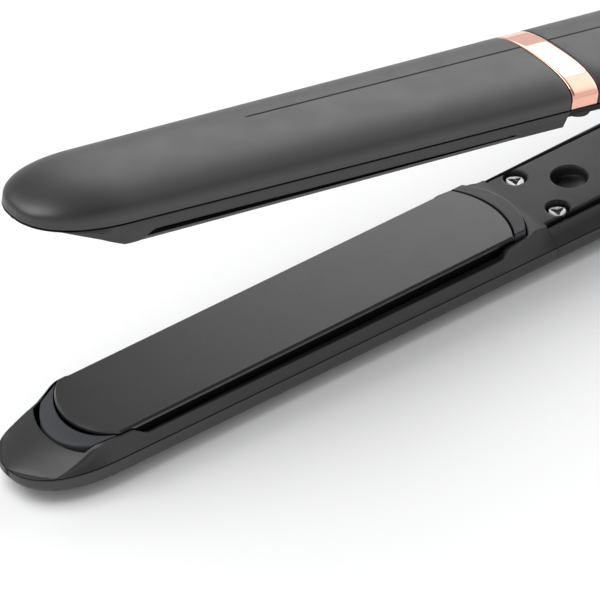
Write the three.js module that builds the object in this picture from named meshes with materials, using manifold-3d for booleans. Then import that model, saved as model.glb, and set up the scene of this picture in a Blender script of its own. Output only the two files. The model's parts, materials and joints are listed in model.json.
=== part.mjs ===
// A hair straightener: two arms on a sprung hinge, each with a floating heated plate in a slim casing.
//
// The pieces of an arm are drawn in the arm's own frame. X runs from the tip (negative) to the hinge
// axis (zero), Y runs across, and Z points away from the plane where the two plates meet.
// The lower arm is that frame turned over onto its back; the upper arm is it swung open on the hinge.

import * as THREE from "three";
import { mergeVertices } from "three/addons/utils/BufferGeometryUtils.js";
import Module from "manifold-3d";

const wasm = await Module();
wasm.setup();

// Driving dimensions, in millimetres and degrees.

const gap = 0.3; // between pieces that touch
const slack = 0.5; // round pieces that pass each other
const overcut = 1; // how far a cutting solid runs past what it cuts
const overlap = 0.2; // how far joined solids run into each other

const openAngle = 11.4;
const closedGap = 0.3; // left between the plates when the arms are shut

const plateLength = 115; // along its straight edges
const plateWidth = 24.6;
const plateThickness = 2.2;
const plateBevel = 0.5;
const plateFrontBulge = 6.2;
const plateRearBulge = 3.8;
const plateToHinge = 137;

const tipToPlate = 23;
const tipFlat = 0.12; // how far the very tip is blunted
const noseHalfWidth = 13.3;
const noseLength = 23;
const noseFullness = 2.4; // exponent of the nose's outline: 2 is an ellipse
const handleHalfWidth = 16.4;
const taperEndToHinge = 75;

const seamHeight = 6.7; // from the mating plane to the seam between shell and casing
const rimHeight = 1.8; // upright side of the shell above the seam
const crownHeight = 5.5;
const crownFullness = 2.3;
const crestShare = 0.42; // part of the half width that is flat on top
const shellWall = 1.8;
const grooveWidth = 0.5;
const grooveDepth = 0.45;
const grooveOffset = 4.3;
const grooveToTip = 66;

const bandWidth = 8;
const bandToHinge = 118.3;
const bandWall = 1.2;

const rimDrop = 0.8; // casing rim beside the plate's front corners, below the mating plane
const wallDrop = 3.2; // casing wall along the plate
const rearRimDrop = 1.5;
const panelDrop = 2.1; // inner face behind the plate
const tipEdge = 0.4;
const casingDraft = 0.1;
const casingChamfer = 0.3;
const casingWall = 1.7;
const frontRimLength = 3;
const frontRampLength = 3.6;
const rearRampLength = 1.8;
const rearRimLead = 3;
const rearRimLength = 9.5;
const rearStepLength = 1.5;

const capFrontReach = 6.5; // end cap's straight side ahead of the plate's corner
const capRearReach = 3.7;
const capBulge = 4.7;
const frontCapDepth = 5.5;
const rearCapDepth = 2.6;
const capLip = 0.5;

const carrierInset = 1.1;
const carrierWall = 1.2;
const carrierDepth = 4.9;
const heaterLength = 70;
const heaterWidth = 12;
const heaterThickness = 2;
const clampThickness = 0.5;
const clampBow = 0.5;
const fuseRadius = 1.1;
const fuseLength = 9;
const cushionLength = 10;
const cushionWidth = 12;
const cushionInset = 18; // from the plate's corners to the cushion's middle
const leadRadius = 0.8;
const leadLift = 0.4; // lead's height above the heater's middle
const clampInset = 5; // from the heater's ends
const fuseOffset = 4; // from the heater's rear end

const tongueHalfWidth = 10.8;
const tongueThickness = 2;
const tongueToHinge = 86;
const tongueCorner = 2;
const tongueLap = 2; // how far the tongue starts inside the front casing
const screwToBandRear = 1.7;
const screwSpacing = 16;
const screwHeadRadius = 2.4;
const screwHeadHeight = 1.1;
const screwSink = 1;
const screwShankRadius = 1.2;
const screwLength = 5.4;
const screwBossWall = 1.5;
const screwSeatWall = 1.2;
const screwCrossShare = 0.45; // cross recess's half length, as a share of the head's radius
const screwCrossHalfWidth = 0.3;
const pegToHinge = 109.6;
const pegRadius = 3.9;
const pegSocketDepth = 2;
const pegReach = 1;
const pegChamfer = 1.2;
const socketWall = 1;

const powerButtonToHinge = 74;
const buttonPitch = 12;
const buttonLength = 8;
const buttonWidth = 5.4;
const buttonProud = 0.7;
const buttonTravel = 0.5;
const buttonStem = 3;
const buttonCorner = 0.1; // straight part left at each end of a button
const windowLength = 10;
const windowWidth = 6;
const windowThickness = 1.2;
const windowRecess = 0.1;
const windowCorner = 0.8;
const boardThickness = 1.2;
const boardWidth = 18;
const switchHeight = 0.7;
const switchSize = 4.5;
const boardScrewInset = 3;
const boardScrewHeadRadius = 2;
const boardScrewHeadHeight = 1;
const boardScrewEnd = 0.6;

const cheekDrop = 0.4; // how far the hinge cheeks stay inside the crowns
const cheekInner = 11;
const bridgeWall = 4.3;
const knuckleClearance = 0.7;
const washerThickness = 0.8;
const washerShare = 2.6; // washer's radius over the pin's
const pinRadius = 2.2;
const pinCapRadius = 6;
const pinCapThickness = 1.1;
const bridgeStart = -165; // degrees round the pin, from the tail towards the top
const bridgeEnd = 30;
const neckLength = 30;
const neckClearance = 0.6;
const neckGap = 1.2; // between the yoke's neck and the knuckle's sweep
const neckCrownClearance = 1;
const springRadius = 4.6;
const springWire = 0.6;
const springTurns = 3;
const springPitch = 1.8;
const springLeg = 14;
const springLegClearance = 1.2;

const glandBossRadius = 8.4;
const glandWall = 5.1;
const glandFlangeRadius = 6.3;
const glandFlangeThickness = 2.1;
const glandStemRadius = 4.3;
const glandCollarRadius = 6;
const glandCollarLength = 2.6;
const glandCollarTaper = 0.8;
const cordRadius = 2.6;
const cordDepth = 5;

const sliderToHinge = 40;
const sliderLength = 9;
const sliderWidth = 6;
const sliderProud = 1.3;
const sliderTravel = 5;
const sliderStemLength = 6;
const sliderStemWidth = 3;
const sliderFootThickness = 1.2;
const sliderFootLip = 1;
const sliderCorner = 1.5;

// Places that follow from them.

const plateFront = -(plateToHinge + plateLength);
const plateRear = -plateToHinge;
const tip = plateFront - tipToPlate;
const bandRear = -bandToHinge;
const bandFront = bandRear - bandWidth;
const taperEnd = -taperEndToHinge;
const shoulder = seamHeight + rimHeight;
const crown = shoulder + crownHeight;
const plateFace = closedGap / 2;
const plateBack = plateFace + plateThickness;
const capFront = plateFront - capFrontReach;
const capRear = plateRear + capRearReach;
const carrierTop = plateBack + gap;
const carrierBottom = carrierTop + carrierDepth;
const screwX = bandRear - screwToBandRear;
const screwHeadTop = panelDrop + screwSink;
const screwSeat = screwHeadTop + screwHeadHeight + gap;
const boardDepth = shoulder;
const boardFront = -tongueToHinge + slack;
const boardRear = -neckLength - slack;
const windowX = -powerButtonToHinge + 3 * buttonPitch;
const heaterMiddle = (plateFront + plateRear) / 2;
const heaterTop = plateBack + gap;
const heaterRear = heaterMiddle + heaterLength / 2;
const leadHeight = heaterTop + heaterThickness / 2 + leadLift;
const leadOffset = heaterWidth / 4;
const legPlace = (springTurns * springPitch) / 2;
const cheekRadius = crown - cheekDrop;
const shellCut = cheekRadius + slack;
const knuckleSweep = cheekRadius - bridgeWall;
const knuckleRadius = knuckleSweep - knuckleClearance;
const cheekOuter = handleHalfWidth - gap;
const knuckleHalf = cheekInner - washerThickness - 2 * gap;
const neckTop = panelDrop + casingWall + neckClearance;
const neckBottom = crown - shellWall - neckCrownClearance;
const glandFlangeStart = knuckleSweep;
const glandFlangeEnd = glandFlangeStart + glandFlangeThickness;
const glandBossEnd = glandFlangeEnd + gap + glandWall;
const glandEnd = glandBossEnd + gap + glandCollarLength;
const centreX = (tip + tipFlat + glandEnd) / 2;

// Finishes.

const finishes = {
  shell: { color: 0x3b3b3d, roughness: 0.55, metalness: 0 },
  casing: { color: 0x303032, roughness: 0.5, metalness: 0 },
  roseGold: { color: 0xe9a98c, roughness: 0.08, metalness: 1 },
  ceramicCoat: { color: 0x1d1d1e, roughness: 0.3, metalness: 0.1 },
  capPlastic: { color: 0x47484d, roughness: 0.6, metalness: 0 },
  innerPlastic: { color: 0x232325, roughness: 0.7, metalness: 0 },
  ceramic: { color: 0xe8e4da, roughness: 0.6, metalness: 0 },
  springSteel: { color: 0xa7a9ac, roughness: 0.3, metalness: 1 },
  silicone: { color: 0xb5462f, roughness: 0.8, metalness: 0 },
  leadSleeve: { color: 0xd8d3c4, roughness: 0.8, metalness: 0 },
  board: { color: 0x1f5a36, roughness: 0.5, metalness: 0 },
  smokedLens: { color: 0x0c0c0e, roughness: 0.05, metalness: 0 },
};

function materialOf(finish) {
  return new THREE.MeshStandardMaterial(finishes[finish]);
}

// Solids.

// A closed geometry as a solid that can be joined and cut.
function solidOf(geometry) {
  const plain = geometry.index ? geometry.toNonIndexed() : geometry.clone();
  plain.deleteAttribute("normal");
  plain.deleteAttribute("uv");
  const merged = mergeVertices(plain, 1e-4);
  return new wasm.Manifold(
    new wasm.Mesh({
      numProp: 3,
      vertProperties: merged.attributes.position.array,
      triVerts: new Uint32Array(merged.index.array),
    }),
  );
}

function geometryOf(solid) {
  const mesh = solid.getMesh();
  const geometry = new THREE.BufferGeometry();
  geometry.setAttribute("position", new THREE.BufferAttribute(mesh.vertProperties, 3));
  geometry.setIndex(new THREE.BufferAttribute(mesh.triVerts, 1));
  geometry.computeVertexNormals();
  return geometry;
}

function piece(name, solid, finish) {
  const mesh = new THREE.Mesh(geometryOf(solid), materialOf(finish));
  mesh.name = name;
  return mesh;
}

function box(x0, x1, y0, y1, z0, z1) {
  const geometry = new THREE.BoxGeometry(x1 - x0, y1 - y0, z1 - z0);
  return solidOf(geometry.translate((x0 + x1) / 2, (y0 + y1) / 2, (z0 + z1) / 2));
}

// A cylinder from one value to the other along the named axis, through the point (a, b) across it.
function rod(axis, radius, from, to, a = 0, b = 0, sides = 24) {
  const geometry = new THREE.CylinderGeometry(radius, radius, to - from, sides);
  const middle = (from + to) / 2;
  if (axis === "x") geometry.rotateZ(-Math.PI / 2).translate(middle, a, b);
  if (axis === "y") geometry.translate(a, middle, b);
  if (axis === "z") geometry.rotateX(Math.PI / 2).translate(a, b, middle);
  return solidOf(geometry);
}

// A flat shape in X and Y, given thickness along Z.
function prism(shape, from, to, curveSegments = 8) {
  const options = { depth: to - from, bevelEnabled: false, curveSegments };
  return solidOf(new THREE.ExtrudeGeometry(shape, options).translate(0, 0, from));
}

// A flat shape in X and Z, given thickness along Y.
function slab(shape, from, to, curveSegments = 12) {
  const options = { depth: to - from, bevelEnabled: false, curveSegments };
  const geometry = new THREE.ExtrudeGeometry(shape, options).rotateX(Math.PI / 2);
  return solidOf(geometry.translate(0, to, 0));
}

// A round wire or tube along a curve.
function tube(points, radius, steps, sides = 8) {
  const section = new THREE.Shape().absarc(0, 0, radius, 0, 2 * Math.PI);
  const extrudePath = new THREE.CatmullRomCurve3(points);
  const options = { steps, extrudePath, curveSegments: sides / 2 };
  return solidOf(new THREE.ExtrudeGeometry(section, options));
}

// A closed skin over rings that each hold the same number of points in a plane across X.
function loft(sections) {
  const across = (ring) => ring.map((point) => new THREE.Vector2(point.y, point.z));
  const clockwise = THREE.ShapeUtils.isClockWise(across(sections[0]));
  const rings = clockwise ? sections.map((ring) => [...ring].reverse()) : sections;
  const size = rings[0].length;
  const last = (rings.length - 1) * size;
  const index = [];
  for (let ring = 0; ring < rings.length - 1; ring++) {
    for (let point = 0; point < size; point++) {
      const a = ring * size + point;
      const b = ring * size + ((point + 1) % size);
      index.push(a, b, a + size, b, b + size, a + size);
    }
  }
  for (const [a, b, c] of THREE.ShapeUtils.triangulateShape(across(rings[0]), [])) {
    index.push(a, c, b);
  }
  for (const [a, b, c] of THREE.ShapeUtils.triangulateShape(across(rings.at(-1)), [])) {
    index.push(last + a, last + b, last + c);
  }
  const geometry = new THREE.BufferGeometry().setFromPoints(rings.flat());
  return solidOf(geometry.setIndex(index));
}

// The arm's outline and its sections.

function noseShare(x) {
  return THREE.MathUtils.clamp((x - tip) / noseLength, 0, 1);
}

// Half the arm's width at the seam: a slow taper with a full, rounded nose.
function seamHalfWidth(x) {
  const taper = THREE.MathUtils.clamp((x - tip) / (taperEnd - tip), 0, 1);
  const side = THREE.MathUtils.lerp(noseHalfWidth, handleHalfWidth, taper);
  return side * (1 - (1 - noseShare(x)) ** noseFullness) ** (1 / noseFullness);
}

function crownAt(x) {
  return crownHeight * Math.sqrt(1 - (1 - noseShare(x)) ** 2);
}

function crownRise(share) {
  const rise = (at) => (1 - at ** crownFullness) ** (1 / crownFullness);
  return rise(share) / rise(crestShare);
}

const crownShares = [1, 0.975, 0.89, 0.72, crestShare];

// The shell's section at x, drawn in from the outside by inset, down to base.
function shellRing(x, inset, base) {
  const half = seamHalfWidth(x) - inset;
  const rise = crownAt(x) - inset;
  const near = crownShares.map((share) => [half * share, shoulder + rise * crownRise(share)]);
  const far = near.map(([y, z]) => [-y, z]).reverse();
  const points = [[half, base], ...near, ...far, [-half, base]];
  return points.map(([y, z]) => new THREE.Vector3(x, y, z));
}

// Places along the arm where its sections are drawn, close together round the nose.
function stations(from, to, extra = []) {
  const steps = 7;
  const nose = [];
  for (let step = 1; step <= steps; step++) {
    nose.push(tip + noseLength * (1 - Math.cos((step / steps) * (Math.PI / 2))));
  }
  const inside = [...nose, taperEnd, ...extra].filter((x) => x > from + gap && x < to - gap);
  const ordered = [from, ...inside, to].sort((a, b) => a - b);
  return ordered.filter((x, place) => place === 0 || x - ordered[place - 1] > 0.01);
}

function shellSkin(from, to, inset, base) {
  return loft(stations(from, to).map((x) => shellRing(x, inset, base)));
}

// Height of the front casing's edge above the mating plane, as corner points along the arm.
const casingProfile = [
  [tip, seamHeight - tipEdge],
  [plateFront - 1, rimDrop],
  [plateFront + frontRimLength, rimDrop],
  [plateFront + frontRimLength + frontRampLength, wallDrop],
  [plateRear - rearRimLead - rearRampLength, wallDrop],
  [plateRear - rearRimLead, rearRimDrop],
  [plateRear - rearRimLead + rearRimLength, rearRimDrop],
  [plateRear - rearRimLead + rearRimLength + rearStepLength, panelDrop],
  [bandFront, panelDrop],
];

function casingEdge(x) {
  const next = casingProfile.findIndex(([at]) => at >= x);
  if (next === -1) return panelDrop;
  if (next === 0) return casingProfile[0][1];
  const [x0, z0] = casingProfile[next - 1];
  const [x1, z1] = casingProfile[next];
  return THREE.MathUtils.mapLinear(x, x0, x1, z0, z1);
}

// The casing's section: sides leaning in from the seam to a chamfered edge at the given height.
function casingRing(x, edge, inset, base) {
  const rise = base - edge;
  const chamfer = Math.min(casingChamfer, rise / 3);
  const half = seamHalfWidth(x) - inset;
  const top = Math.max(half - casingDraft * rise, half / 2);
  const near = [
    [half, base],
    [top, edge + chamfer],
    [top - Math.min(chamfer, top / 3), edge],
  ];
  const far = near.map(([y, z]) => [-y, z]).reverse();
  return [...near, ...far].map(([y, z]) => new THREE.Vector3(x, y, z));
}

// Plan outline with straight sides and bowed ends.
function bowedPlan(front, rear, half, frontBulge, rearBulge) {
  const arc = (bulge) => (half ** 2 + bulge ** 2) / (2 * bulge);
  const frontRadius = arc(frontBulge);
  const rearRadius = arc(rearBulge);
  const frontTurn = Math.asin(half / frontRadius);
  const rearTurn = Math.asin(half / rearRadius);
  const shape = new THREE.Shape();
  shape.moveTo(front, -half);
  shape.lineTo(rear, -half);
  shape.absarc(rear + rearBulge - rearRadius, 0, rearRadius, -rearTurn, rearTurn);
  shape.lineTo(front, half);
  shape.absarc(front - frontBulge + frontRadius, 0, frontRadius, Math.PI - frontTurn, Math.PI + frontTurn);
  return shape;
}

function platePlan(grow) {
  const half = plateWidth / 2 + grow;
  return bowedPlan(plateFront, plateRear, half, plateFrontBulge + grow, plateRearBulge + grow);
}

function capPlan(grow) {
  return bowedPlan(capFront, capRear, plateWidth / 2 + grow, capBulge + grow, capBulge + grow);
}

// Rounded rectangle in plan.
function roundedPlan(x0, x1, half, radius) {
  const shape = new THREE.Shape();
  shape.moveTo(x0 + radius, -half);
  shape.absarc(x1 - radius, -half + radius, radius, -Math.PI / 2, 0);
  shape.absarc(x1 - radius, half - radius, radius, 0, Math.PI / 2);
  shape.absarc(x0 + radius, half - radius, radius, Math.PI / 2, Math.PI);
  shape.absarc(x0 + radius, -half + radius, radius, Math.PI, 1.5 * Math.PI);
  return shape;
}

// Outer shells.

function styleGroove(from, to) {
  const half = grooveWidth / 2;
  return box(from, to, grooveOffset - half, grooveOffset + half, crown - grooveDepth, crown + overcut);
}

function frontShell() {
  const end = bandFront - gap;
  const base = seamHeight + gap / 2;
  const skin = shellSkin(tip + tipFlat, end, 0, base);
  const hollow = shellSkin(tip + shellWall + slack, end + overcut, shellWall, base - overcut);
  return skin.subtract(hollow).subtract(styleGroove(tip + grooveToTip, end + overcut));
}

function accentBand() {
  const base = seamHeight + gap / 2;
  const skin = shellSkin(bandFront, bandRear, 0, base);
  return skin.subtract(shellSkin(bandFront - overcut, bandRear + overcut, bandWall, base - overcut));
}

function screwBoss(y, inset) {
  const radius = screwShankRadius + gap;
  const foot = screwSeat + screwBossWall + gap;
  const post = rod("z", radius + screwBossWall, foot, crown - shellWall, screwX, y, 16);
  const inside = shellSkin(bandFront + gap, bandRear + gap, inset, foot - overcut);
  const bore = rod("z", radius, foot - overcut, screwSeat + screwLength, screwX, y, 12);
  return post.intersect(inside).subtract(bore);
}

// The handle's shell with the bosses for the casing screws. The upper arm's has a sunk sleeve that
// carries the band, and the lower arm's runs forward to the front shell.
function handleShell(banded) {
  const base = seamHeight + gap / 2;
  const front = banded ? bandRear + gap : bandFront + gap;
  const bossInset = banded ? bandWall + gap + slack : shellWall / 2;
  const outer = shellSkin(front, 0, 0, base);
  const hollow = shellSkin(front - overcut, overcut, shellWall, base - overcut);
  const shell = outer.subtract(hollow);
  return (banded ? shell.add(bandSleeve(base)) : shell)
    .add(screwBoss(screwSpacing / 2, bossInset))
    .add(screwBoss(-screwSpacing / 2, bossInset))
    .subtract(styleGroove(front - overcut, 0))
    .subtract(rod("y", shellCut, -2 * handleHalfWidth, 2 * handleHalfWidth, 0, 0, 40));
}

function bandSleeve(base) {
  const inset = bandWall + gap;
  const wall = inset + shellWall;
  const sleeve = shellSkin(bandFront + gap, bandRear + 2 * shellWall, inset, base);
  return sleeve.subtract(shellSkin(bandFront - overcut, bandRear + 3 * shellWall, wall, base - overcut));
}

// Lock slider on the upper handle, and the slot that it runs in.

function sliderSlot() {
  const start = -sliderToHinge - sliderStemLength / 2 - gap;
  const end = -sliderToHinge + sliderStemLength / 2 + sliderTravel + gap;
  const half = sliderStemWidth / 2 + gap;
  return box(start, end, -half, half, shoulder, crown + overcut);
}

function lockSlider() {
  const x = -sliderToHinge;
  const inside = crown - shellWall - gap;
  const half = sliderLength / 2;
  const plan = roundedPlan(x - half, x + half, sliderWidth / 2, sliderCorner);
  const pad = prism(plan, crown + gap, crown + gap + sliderProud, 3);
  const stemHalf = sliderStemLength / 2;
  const stemWidth = sliderStemWidth / 2;
  const footWidth = stemWidth + sliderFootLip;
  const footTop = inside - sliderFootThickness;
  const stem = box(x - stemHalf, x + stemHalf, -stemWidth, stemWidth, footTop, crown + sliderProud);
  const foot = box(x - stemHalf, x + stemHalf, -footWidth, footWidth, footTop, inside);
  return pad.add(stem).add(foot);
}

// Casings.

function tonguePlan(grow) {
  return roundedPlan(bandFront - tongueLap, -tongueToHinge + grow, tongueHalfWidth + grow, tongueCorner);
}

function frontCasing(withSocket) {
  const base = seamHeight - gap / 2;
  const corners = casingProfile.map(([x]) => x);
  const along = stations(tip + tipFlat, bandFront - gap, corners);
  const body = loft(along.map((x) => casingRing(x, casingEdge(x), 0, base)));
  let casing = body
    .subtract(prism(capPlan(gap), -overcut, base + overcut))
    .add(prism(tonguePlan(0), panelDrop, panelDrop + tongueThickness, 3));
  const tongue = prism(tonguePlan(0), 0, crown, 3);
  for (const y of [-screwSpacing / 2, screwSpacing / 2]) {
    const seatRadius = screwHeadRadius + screwSeatWall;
    const boss = rod("z", seatRadius, panelDrop + slack, screwSeat + screwBossWall, screwX, y, 20);
    casing = casing
      .add(boss.intersect(tongue))
      .subtract(rod("z", screwHeadRadius + gap, 0, screwSeat, screwX, y, 20))
      .subtract(rod("z", screwShankRadius + gap, 0, crown, screwX, y, 12));
  }
  if (withSocket) {
    const floor = panelDrop + pegSocketDepth;
    casing = casing
      .add(rod("z", pegRadius + slack + socketWall, panelDrop + slack, floor + socketWall, -pegToHinge, 0))
      .subtract(rod("z", pegRadius + slack, 0, floor, -pegToHinge, 0));
  }
  return casing;
}

function handleCasing() {
  const base = seamHeight - gap / 2;
  const along = stations(bandFront, 0);
  const body = loft(along.map((x) => casingRing(x, panelDrop, 0, base)));
  const inner = [bandFront - overcut, taperEnd, overcut];
  const floor = panelDrop + casingWall;
  const hollow = loft(inner.map((x) => casingRing(x, floor, casingWall, base + overcut)));
  return body
    .subtract(hollow)
    .subtract(prism(tonguePlan(gap), 0, base, 3))
    .subtract(rod("y", shellCut, -2 * handleHalfWidth, 2 * handleHalfWidth, 0, 0, 40));
}

// The peg stands on the tongue and points at the other arm.
function locatingPeg() {
  const top = 2 * panelDrop + pegReach;
  const profile = [
    new THREE.Vector2(0, 0),
    new THREE.Vector2(pegRadius, 0),
    new THREE.Vector2(pegRadius, top - pegChamfer),
    new THREE.Vector2(pegRadius - pegChamfer, top),
    new THREE.Vector2(0, top),
  ];
  const geometry = new THREE.LatheGeometry(profile, 20).rotateX(-Math.PI / 2);
  return solidOf(geometry.translate(-pegToHinge, 0, panelDrop - gap));
}

function casingScrew(y) {
  const head = rod("z", screwHeadRadius, screwHeadTop, screwHeadTop + screwHeadHeight, screwX, y, 16);
  const end = screwHeadTop + screwHeadHeight + screwLength - gap;
  const shank = rod("z", screwShankRadius, screwHeadTop + gap, end, screwX, y, 10);
  const cross = screwCrossShare * screwHeadRadius;
  const thin = screwCrossHalfWidth;
  const floor = screwHeadTop + slack;
  const slotAcross = box(screwX - cross, screwX + cross, y - thin, y + thin, 0, floor);
  const slotAlong = box(screwX - thin, screwX + thin, y - cross, y + cross, 0, floor);
  return head.add(shank).subtract(slotAcross.add(slotAlong));
}

// The plate and what floats with it.

function heatingPlate() {
  const whole = prism(platePlan(0), plateFace, plateBack, 10);
  const tilt = Math.PI / 4;
  let plate = whole;
  for (const side of [-1, 1]) {
    const geometry = new THREE.BoxGeometry(2 * plateLength, 2, 4).translate(0, 0, -2);
    geometry.rotateX(side * tilt);
    const edge = plateWidth / 2 - plateBevel / 2;
    geometry.translate((plateFront + plateRear) / 2, side * edge, plateFace + plateBevel / 2);
    plate = plate.subtract(solidOf(geometry));
  }
  return plate;
}

// Crescent between the plate's bowed end and the casing, sloping down with the nose at the front.
function frontEndCap() {
  const slope = Math.atan2(seamHeight - tipEdge - rimDrop, tipToPlate - 1);
  const body = prism(capPlan(0), 0, frontCapDepth).intersect(
    box(tip, plateFront, -plateWidth, plateWidth, -overcut, frontCapDepth + overcut),
  );
  const above = new THREE.BoxGeometry(4 * tipToPlate, 2 * plateWidth, 20).translate(0, 0, -10);
  above.rotateY(slope).translate(plateFront, 0, capLip);
  return body.subtract(prism(platePlan(gap), -overcut, frontCapDepth + overcut, 10)).subtract(solidOf(above));
}

function rearEndCap() {
  const body = prism(capPlan(0), plateFace, rearCapDepth).intersect(
    box(plateRear, 0, -plateWidth, plateWidth, -overcut, rearCapDepth + overcut),
  );
  return body.subtract(prism(platePlan(gap), -overcut, rearCapDepth + overcut, 10));
}

// Tray under the plate that holds the heater and its clamp.
function plateCarrier() {
  const front = plateFront + gap;
  const rear = plateRear - gap;
  const half = plateWidth / 2 - carrierInset;
  const tray = box(front, rear, -half, half, carrierTop, carrierBottom);
  const well = box(
    front + carrierWall,
    rear - carrierWall,
    -half + carrierWall,
    half - carrierWall,
    carrierTop - overcut,
    carrierBottom - carrierWall,
  );
  const notchRadius = 2.5 * leadRadius;
  const leadNotch = rod("x", notchRadius, rear - 2 * carrierWall, rear + overcut, leadOffset, leadHeight, 12);
  return tray.subtract(well).subtract(leadNotch);
}


function ceramicHeater() {
  const half = heaterLength / 2;
  const wide = heaterWidth / 2;
  return box(heaterMiddle - half, heaterRear, -wide, wide, heaterTop, heaterTop + heaterThickness);
}

// Bowed leaf that presses the heater on the plate.
function heaterClamp() {
  const half = heaterLength / 2 - clampInset;
  const low = heaterTop + heaterThickness + gap;
  const shape = new THREE.Shape();
  shape.moveTo(heaterMiddle - half, low);
  shape.quadraticCurveTo(heaterMiddle, low + 2 * clampBow, heaterMiddle + half, low);
  shape.lineTo(heaterMiddle + half, low + clampThickness);
  const top = low + clampThickness;
  shape.quadraticCurveTo(heaterMiddle, top + 2 * clampBow, heaterMiddle - half, top);
  return slab(shape, -heaterWidth / 3, heaterWidth / 3, 6);
}

function thermalFuse() {
  const start = heaterRear + fuseOffset;
  return rod("x", fuseRadius, start, start + fuseLength, -heaterWidth / 3, leadHeight, 12);
}

function floatCushion(x) {
  const half = cushionLength / 2;
  const wide = cushionWidth / 2;
  return box(x - half, x + half, -wide, wide, carrierBottom + gap, crown - shellWall - gap);
}

// Sleeved lead from the heater, out of the tray and back into the handle.
function heaterLead(endX, endZ) {
  const start = heaterRear + slack;
  const y = leadOffset;
  const high = seamHeight + 2 * leadRadius;
  const points = [
    new THREE.Vector3(start, y, leadHeight),
    new THREE.Vector3(plateRear - 4, y, leadHeight),
    new THREE.Vector3(plateRear, y, leadHeight + 0.2),
    new THREE.Vector3(capRear + capBulge - 1.5, y, high),
    new THREE.Vector3(bandRear, y, high),
    new THREE.Vector3((bandRear + endX) / 2, y, endZ),
    new THREE.Vector3(endX, y, endZ),
  ];
  return tube(points, leadRadius, 16);
}

// Controls in the lower handle.


function buttonX(place) {
  return -powerButtonToHinge + place * buttonPitch;
}

function controlOpenings() {
  const half = windowLength / 2 + gap;
  let openings = prism(
    roundedPlan(windowX - half, windowX + half, windowWidth / 2 + gap, windowCorner + gap),
    0,
    seamHeight,
    3,
  );
  for (const place of [0, 1, 2]) {
    openings = openings.add(prism(buttonPlan(place, gap), 0, seamHeight, 4));
  }
  return openings;
}

function buttonPlan(place, grow) {
  const half = buttonLength / 2 + grow;
  const wide = buttonWidth / 2 + grow;
  return roundedPlan(buttonX(place) - half, buttonX(place) + half, wide, wide - buttonCorner);
}

function button(place) {
  const x = buttonX(place);
  const half = buttonStem / 2;
  const foot = boardDepth - gap - switchHeight - gap - buttonTravel;
  const cap = prism(buttonPlan(place, 0), panelDrop - buttonProud, panelDrop + casingWall, 4);
  return cap.add(box(x - half, x + half, -half, half, panelDrop + overlap, foot));
}

function tactSwitch(place) {
  const half = switchSize / 2;
  const bottom = boardDepth - gap;
  return box(buttonX(place) - half, buttonX(place) + half, -half, half, bottom - switchHeight, bottom);
}

function displayWindow() {
  const half = windowLength / 2;
  const plan = roundedPlan(windowX - half, windowX + half, windowWidth / 2, windowCorner);
  const face = panelDrop + windowRecess;
  return prism(plan, face, face + windowThickness, 3);
}

function boardScrewX(place) {
  return place === 0 ? boardFront + boardScrewInset : boardRear - boardScrewInset;
}

function controlBoard() {
  const half = boardWidth / 2;
  let board = box(boardFront, boardRear, -half, half, boardDepth, boardDepth + boardThickness);
  const radius = screwShankRadius + gap;
  const from = boardDepth - overcut;
  const to = boardDepth + boardThickness + overcut;
  for (const place of [0, 1]) {
    board = board.subtract(rod("z", radius, from, to, boardScrewX(place), boardScrewInset - half, 10));
  }
  return board;
}

function boardScrew(place) {
  const x = boardScrewX(place);
  const y = boardScrewInset - boardWidth / 2;
  const seat = boardDepth - gap;
  const end = boardDepth + boardThickness + boardScrewEnd;
  const head = rod("z", boardScrewHeadRadius, seat - boardScrewHeadHeight, seat, x, y, 12);
  return head.add(rod("z", screwShankRadius, seat - overlap, end, x, y, 10));
}

// Hinge. These pieces are drawn about the pin with Z up: the yoke belongs to the lower arm.

function bridgeSector() {
  const start = THREE.MathUtils.degToRad(bridgeStart);
  const end = THREE.MathUtils.degToRad(bridgeEnd);
  const shape = new THREE.Shape();
  shape.absarc(0, 0, cheekRadius, start, end);
  shape.absarc(0, 0, knuckleSweep, end, start, true);
  return slab(shape, -cheekInner - overlap, cheekInner + overlap, 10);
}

function hingeYoke() {
  const sweep = rod("y", knuckleSweep, -cheekInner, cheekInner, 0, 0, 32);
  const boss = rod("x", glandBossRadius, 0, glandBossEnd, 0, 0, 24).subtract(sweep);
  let yoke = bridgeSector()
    .add(boss)
    .add(box(-neckLength, -knuckleSweep - neckGap, -knuckleHalf, knuckleHalf, -neckBottom, -neckTop));
  for (const side of [-1, 1]) {
    const edges = [side * cheekInner, side * cheekOuter];
    edges.sort((a, b) => a - b);
    const recess = [side * (cheekOuter - pinCapThickness), side * (cheekOuter + overcut)];
    recess.sort((a, b) => a - b);
    yoke = yoke
      .add(rod("y", cheekRadius, edges[0], edges[1], 0, 0, 36))
      .subtract(rod("y", pinCapRadius + gap, recess[0], recess[1], 0, 0, 24));
  }
  const legHalf = springWire + springLegClearance / 3;
  const legSlot = box(
    -neckLength / 2,
    0,
    -legPlace - legHalf,
    -legPlace + legHalf,
    -springRadius - springLegClearance,
    -springRadius + springLegClearance,
  );
  return yoke
    .subtract(rod("y", pinRadius + gap, -handleHalfWidth, handleHalfWidth))
    .subtract(rod("x", glandFlangeRadius + gap, 0, glandFlangeEnd + gap, 0, 0, 24))
    .subtract(rod("x", glandStemRadius + gap, 0, glandBossEnd + overcut, 0, 0, 20))
    .subtract(legSlot);
}

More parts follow.
